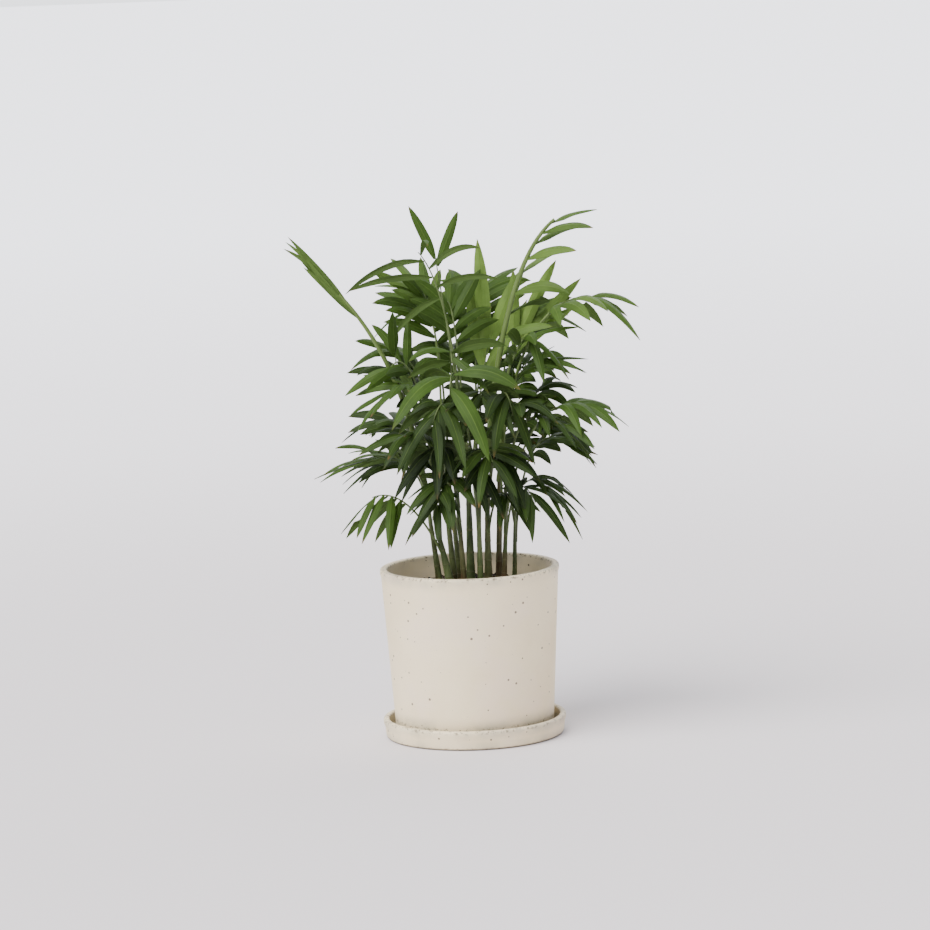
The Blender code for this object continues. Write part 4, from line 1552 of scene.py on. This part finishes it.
@dataclass
class Palm:
    """One leafy stem, dressed: a cane with its petioles, and its leaflets."""

    plan: Plantlet
    cane: Object
    petiole: Object
    leaflet: Object
    blade: LeafletPattern
    corners: KDTree = field(init=False)

    def __post_init__(self) -> None:
        """Sorts the corners of the frame's solid, to find how each part of it was set."""
        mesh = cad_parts[self.plan.name].data
        self.corners = KDTree(len(mesh.vertices))
        for vertex in mesh.vertices:
            self.corners.insert(vertex.co / MM, vertex.index)
        self.corners.balance()

    def off_corner(self, place: np.ndarray) -> float:
        """How far a place, in millimetres, is from the nearest corner of the frame's solid."""
        return self.corners.find(Vector(place))[2]

    def stem(self) -> Route:
        """Lays the cane's curve above the soil.

        Returns:
            The curve.
        """
        surface = np.array((*self.plan.foot, SOIL_TOP), dtype=float)
        crown = np.array(self.plan.crown, dtype=float)
        return Route(surface, surface * (1.0 - CANE_BEND) + crown * CANE_BEND + UP * CANE_LIFT, crown)

    def rachis(self, order: int) -> Rachis:
        """Lays a frond's curve, with its knee shifted as in the frame.

        Args:
            order: The frond's number, from the lowest.

        Returns:
            The curve.
        """
        rise = (LAST_FROND - FIRST_FROND) / (len(self.plan.fronds) - 1)
        start = self.stem().at(FIRST_FROND + rise * order)
        frond = self.plan.fronds[order]
        choices = [Rachis(frond, start, shift) for shift in KNEE_SHIFTS]
        return min(choices, key=lambda choice: sum(map(self.off_corner, choice.ring(frond.bare))))

    def leaflets(self, order: int, rachis: Rachis) -> list[Leaflet]:
        """Finds the leaflets of a frond that the frame has, each bent as there.

        Args:
            order: The frond's number, from the lowest.
            rachis: Its curve.

        Returns:
            The leaflets, with the further blades of a sheaf.
        """
        found = []
        for number in range(2 * rachis.frond.pairs):
            seed = f"{self.plan.name}/{order}/{number}"
            choices = [Leaflet(seed, rachis, number, bend) for bend in BENDS]
            best = min(choices, key=lambda choice: self.off_corner(choice.tip()))
            if self.off_corner(best.tip()) < SAME_PLACE:
                found.append(best)
                found += [Leaflet(f"{seed}/{extra}", rachis, number, best.bend)
                          for extra in range(1, rachis.frond.sheaf)]
        return found

    def pole_on(self, pattern: Object, channel: int, value: float, shape: Shape) -> Object:
        """Copies the cane or the petiole and lays it on its curve.

        Args:
            pattern: The cane or the petiole.
            channel: The channel of its attribute "cane" to set.
            value: What that channel holds.
            shape: Lays its vertices on the curve.

        Returns:
            The copy.
        """
        piece = copy_of(pattern)
        for mark in piece.data.attributes["cane"].data:
            mark.color[channel] = value
        reshape(piece, shape)
        return piece

    def cane_on(self, stem: Route) -> Object:
        """Copies the cane, which stands in its hole and follows the stem.

        Args:
            stem: The stem's curve.

        Returns:
            The copy.
        """
        buried = HOLE_DEPTH / (HOLE_DEPTH + float(np.linalg.norm(stem.end - stem.start)))
        girth = self.plan.girth * SHEATHED

        def shape(flat: np.ndarray) -> np.ndarray:
            """Lays the straight cane on the stem's curve.

            Args:
                flat: The straight cane's vertices.

            Returns:
                Their places on the plant.
            """
            height = flat[:, 2:]
            share = np.clip((height - buried) / (1.0 - buried), 0.0, 1.0)[:, 0]
            under = np.clip(height / buried, 0.0, 1.0) - 1.0
            heading = stem.heading(share)
            across = unit(np.cross(heading, (0.0, 1.0, 0.0)))
            round_it = across * flat[:, :1] + np.cross(heading, across) * flat[:, 1:2]
            radius = (girth + (CANE_TOP_RADIUS - girth) * share)[:, None]
            return (stem.at(share) + UP * under * HOLE_DEPTH + round_it * radius) * MM

        return self.pole_on(self.cane, 2, self.plan.rust, shape)

    def petiole_on(self, rachis: Rachis) -> Object:
        """Copies the petiole, which follows a frond's curve, with a flared base.

        Args:
            rachis: The frond's curve.

        Returns:
            The copy.
        """

        def shape(flat: np.ndarray) -> np.ndarray:
            """Lays the straight petiole on the frond's curve.

            Args:
                flat: The straight petiole's vertices.

            Returns:
                Their places on the plant.
            """
            share = flat[:, 2]
            _, right, upper = rachis.axes(share)
            flared = FLARE_WIDTH * np.exp(-share / FLARE_REACH) - TIP_TAPER * share ** 4
            radius = petiole_radius(share) * rachis.frond.stout + flared
            round_it = upper * flat[:, 1:2] - right * flat[:, :1]
            return (rachis.at(share) + round_it * radius[:, None]) * MM

        # The frond's age, with its painted shade and light, tones the petiole.
        return self.pole_on(self.petiole, 3, rachis.frond.age.value, shape)

    def leaflet_on(self, leaflet: Leaflet) -> Object:
        """Copies the leaflet, bent and toned as this one grows.

        Args:
            leaflet: The leaflet's own way to grow.

        Returns:
            The copy.
        """
        piece = copy_of(self.leaflet)
        reshape(piece, lambda flat: leaflet.drape(flat, self.blade))
        marks = piece.data.attributes["leaf"].data
        colours = np.empty(4 * len(marks), dtype=np.float32)
        marks.foreach_get("color", colours)
        colours = colours.reshape(-1, 4)
        colours[:, 0] = leaflet.tone
        colours[:, 2] = leaflet.dried
        marks.foreach_set("color", colours.ravel())
        return piece

    def build(self, leaf: Material, skin: Material) -> None:
        """Grows the stem's two pieces.

        Args:
            leaf: The leaflets' finish.
            skin: The cane's and the petioles' finish.
        """
        wood, blades = [self.cane_on(self.stem())], []
        for order in range(len(self.plan.fronds)):
            rachis = self.rachis(order)
            wood.append(self.petiole_on(rachis))
            blades += [self.leaflet_on(leaflet) for leaflet in self.leaflets(order, rachis)]
        name = self.plan.name
        settle(joined(wood, f"{name}_cane"), skin, [name])
        settle(joined(blades, f"{name}_leaflets"), leaf, [name])
        log.info("%s: %d fronds, %d leaflets", name, len(self.plan.fronds), len(blades))


# Studio


@dataclass(frozen=True)
class Sun:
    """A soft sun: the direction from the plant to it, its strength, and its angle in degrees."""

    name: str
    towards: Place
    strength: float
    softness: float
    colour: Colour

    def hang(self) -> None:
        """Adds the light."""
        light = bpy.data.lights.new(self.name, "SUN")
        light.energy = self.strength
        light.angle = math.radians(self.softness)
        light.color = self.colour
        lamp = bpy.data.objects.new(self.name, light)
        lamp.rotation_euler = Vector(self.towards).to_track_quat("Z", "Y").to_euler()
        bpy.context.scene.collection.objects.link(lamp)


@dataclass
class Studio:
    """The pale floor, the soft light and the camera at the photo's angle.

    The room is even, and brighter at its horizon, where the floor ends. The base pixel is where
    the middle of the saucer's underside lies in the photo.
    """

    floor_size: float = 900.0
    suns: tuple[Sun, ...] = (Sun("key", (-0.60, -0.60, 0.95), 6.1, 50.0, (1.0, 0.985, 0.96)),
                             Sun("back", (0.25, 0.9, 0.75), 1.5, 60.0, (0.97, 0.985, 1.0)))
    room_colour: Colour = (0.94, 0.96, 1.0)
    room_glow: float = 0.95
    far_glow: float = 2.35
    far_heights: tuple[float, float] = (0.03, 0.06)
    elevation: float = math.radians(7.45)
    roll: float = math.radians(2.1)
    distance: float = 3.4
    picture_width: float = 930.0
    pixels_per_metre: float = 1080.0
    base_pixel: tuple[float, float] = (475.5, 732.7)
    sensor: float = 36.0

    def build(self) -> None:
        """Sets up the floor, the lights and the camera."""
        self.lay_floor()
        for sun in self.suns:
            sun.hang()
        self.light_room()
        self.place_camera()

    def lay_floor(self) -> None:
        """A plain floor that reaches far enough to fill every view."""
        bpy.ops.mesh.primitive_plane_add(size=self.floor_size)
        floor = bpy.context.object
        floor.name = "floor"
        floor.data.materials.append(FloorFinish().material())

    def light_room(self) -> None:
        """Makes the room glow, and its horizon more."""
        tree = NodeTree(bpy.data.worlds.new("room"), "Background")
        view = tree.add("ShaderNodeTexCoord").outputs["Generated"]
        height = tree.math("ABSOLUTE", tree.axes(view)[2])
        low, high = self.far_heights
        glow = tree.add("ShaderNodeMapRange", {0: height, 1: low, 2: high, 3: self.far_glow,
                                               4: self.room_glow}).outputs[0]
        bpy.context.scene.world = tree.finish(Color=self.room_colour, Strength=glow)

    def place_camera(self) -> None:
        """Aims the camera so that the saucer's foot lies where the photo has it."""
        camera = bpy.data.cameras.new("camera")
        camera.sensor_width = self.sensor
        camera.lens = self.sensor * self.distance * self.pixels_per_metre / self.picture_width
        camera.clip_end = 2.0 * self.floor_size
        stand = bpy.data.objects.new("camera", camera)
        right = Vector((1.0, 0.0, 0.0))
        rise = Vector((0.0, math.sin(self.elevation), math.cos(self.elevation)))
        back = Vector((0.0, -math.cos(self.elevation), math.sin(self.elevation)))
        half = self.picture_width / 2.0
        left, low = half - self.base_pixel[0], self.base_pixel[1] - half
        cosine, sine = math.cos(self.roll), math.sin(self.roll)
        target = right * (left * cosine + low * sine) + rise * (low * cosine - left * sine)
        stand.location = target / self.pixels_per_metre + back * self.distance
        basis = (right * cosine - rise * sine, right * sine + rise * cosine, back)
        stand.rotation_euler = Matrix(basis).transposed().to_euler()
        bpy.context.scene.collection.objects.link(stand)
        bpy.context.scene.camera = stand


def main() -> None:
    """Builds the studio and the potted palm, in order."""
    logging.basicConfig(level=logging.INFO, format="%(name)s: %(message)s")
    Studio().build()
    stoneware = StonewareFinish().material()
    Saucer().build(stoneware)
    Pot().build(stoneware)
    PottingMix().build()
    blade = LeafletPattern()
    patterns = (CanePattern().build(), PetiolePattern().build(), blade.build())
    leaf, skin = LeafFinish().material(), CaneFinish().material()
    for plan in CLUMP:
        Palm(plan, *patterns, blade).build(leaf, skin)
    discard(patterns)


if __name__ == "__main__":
    main()
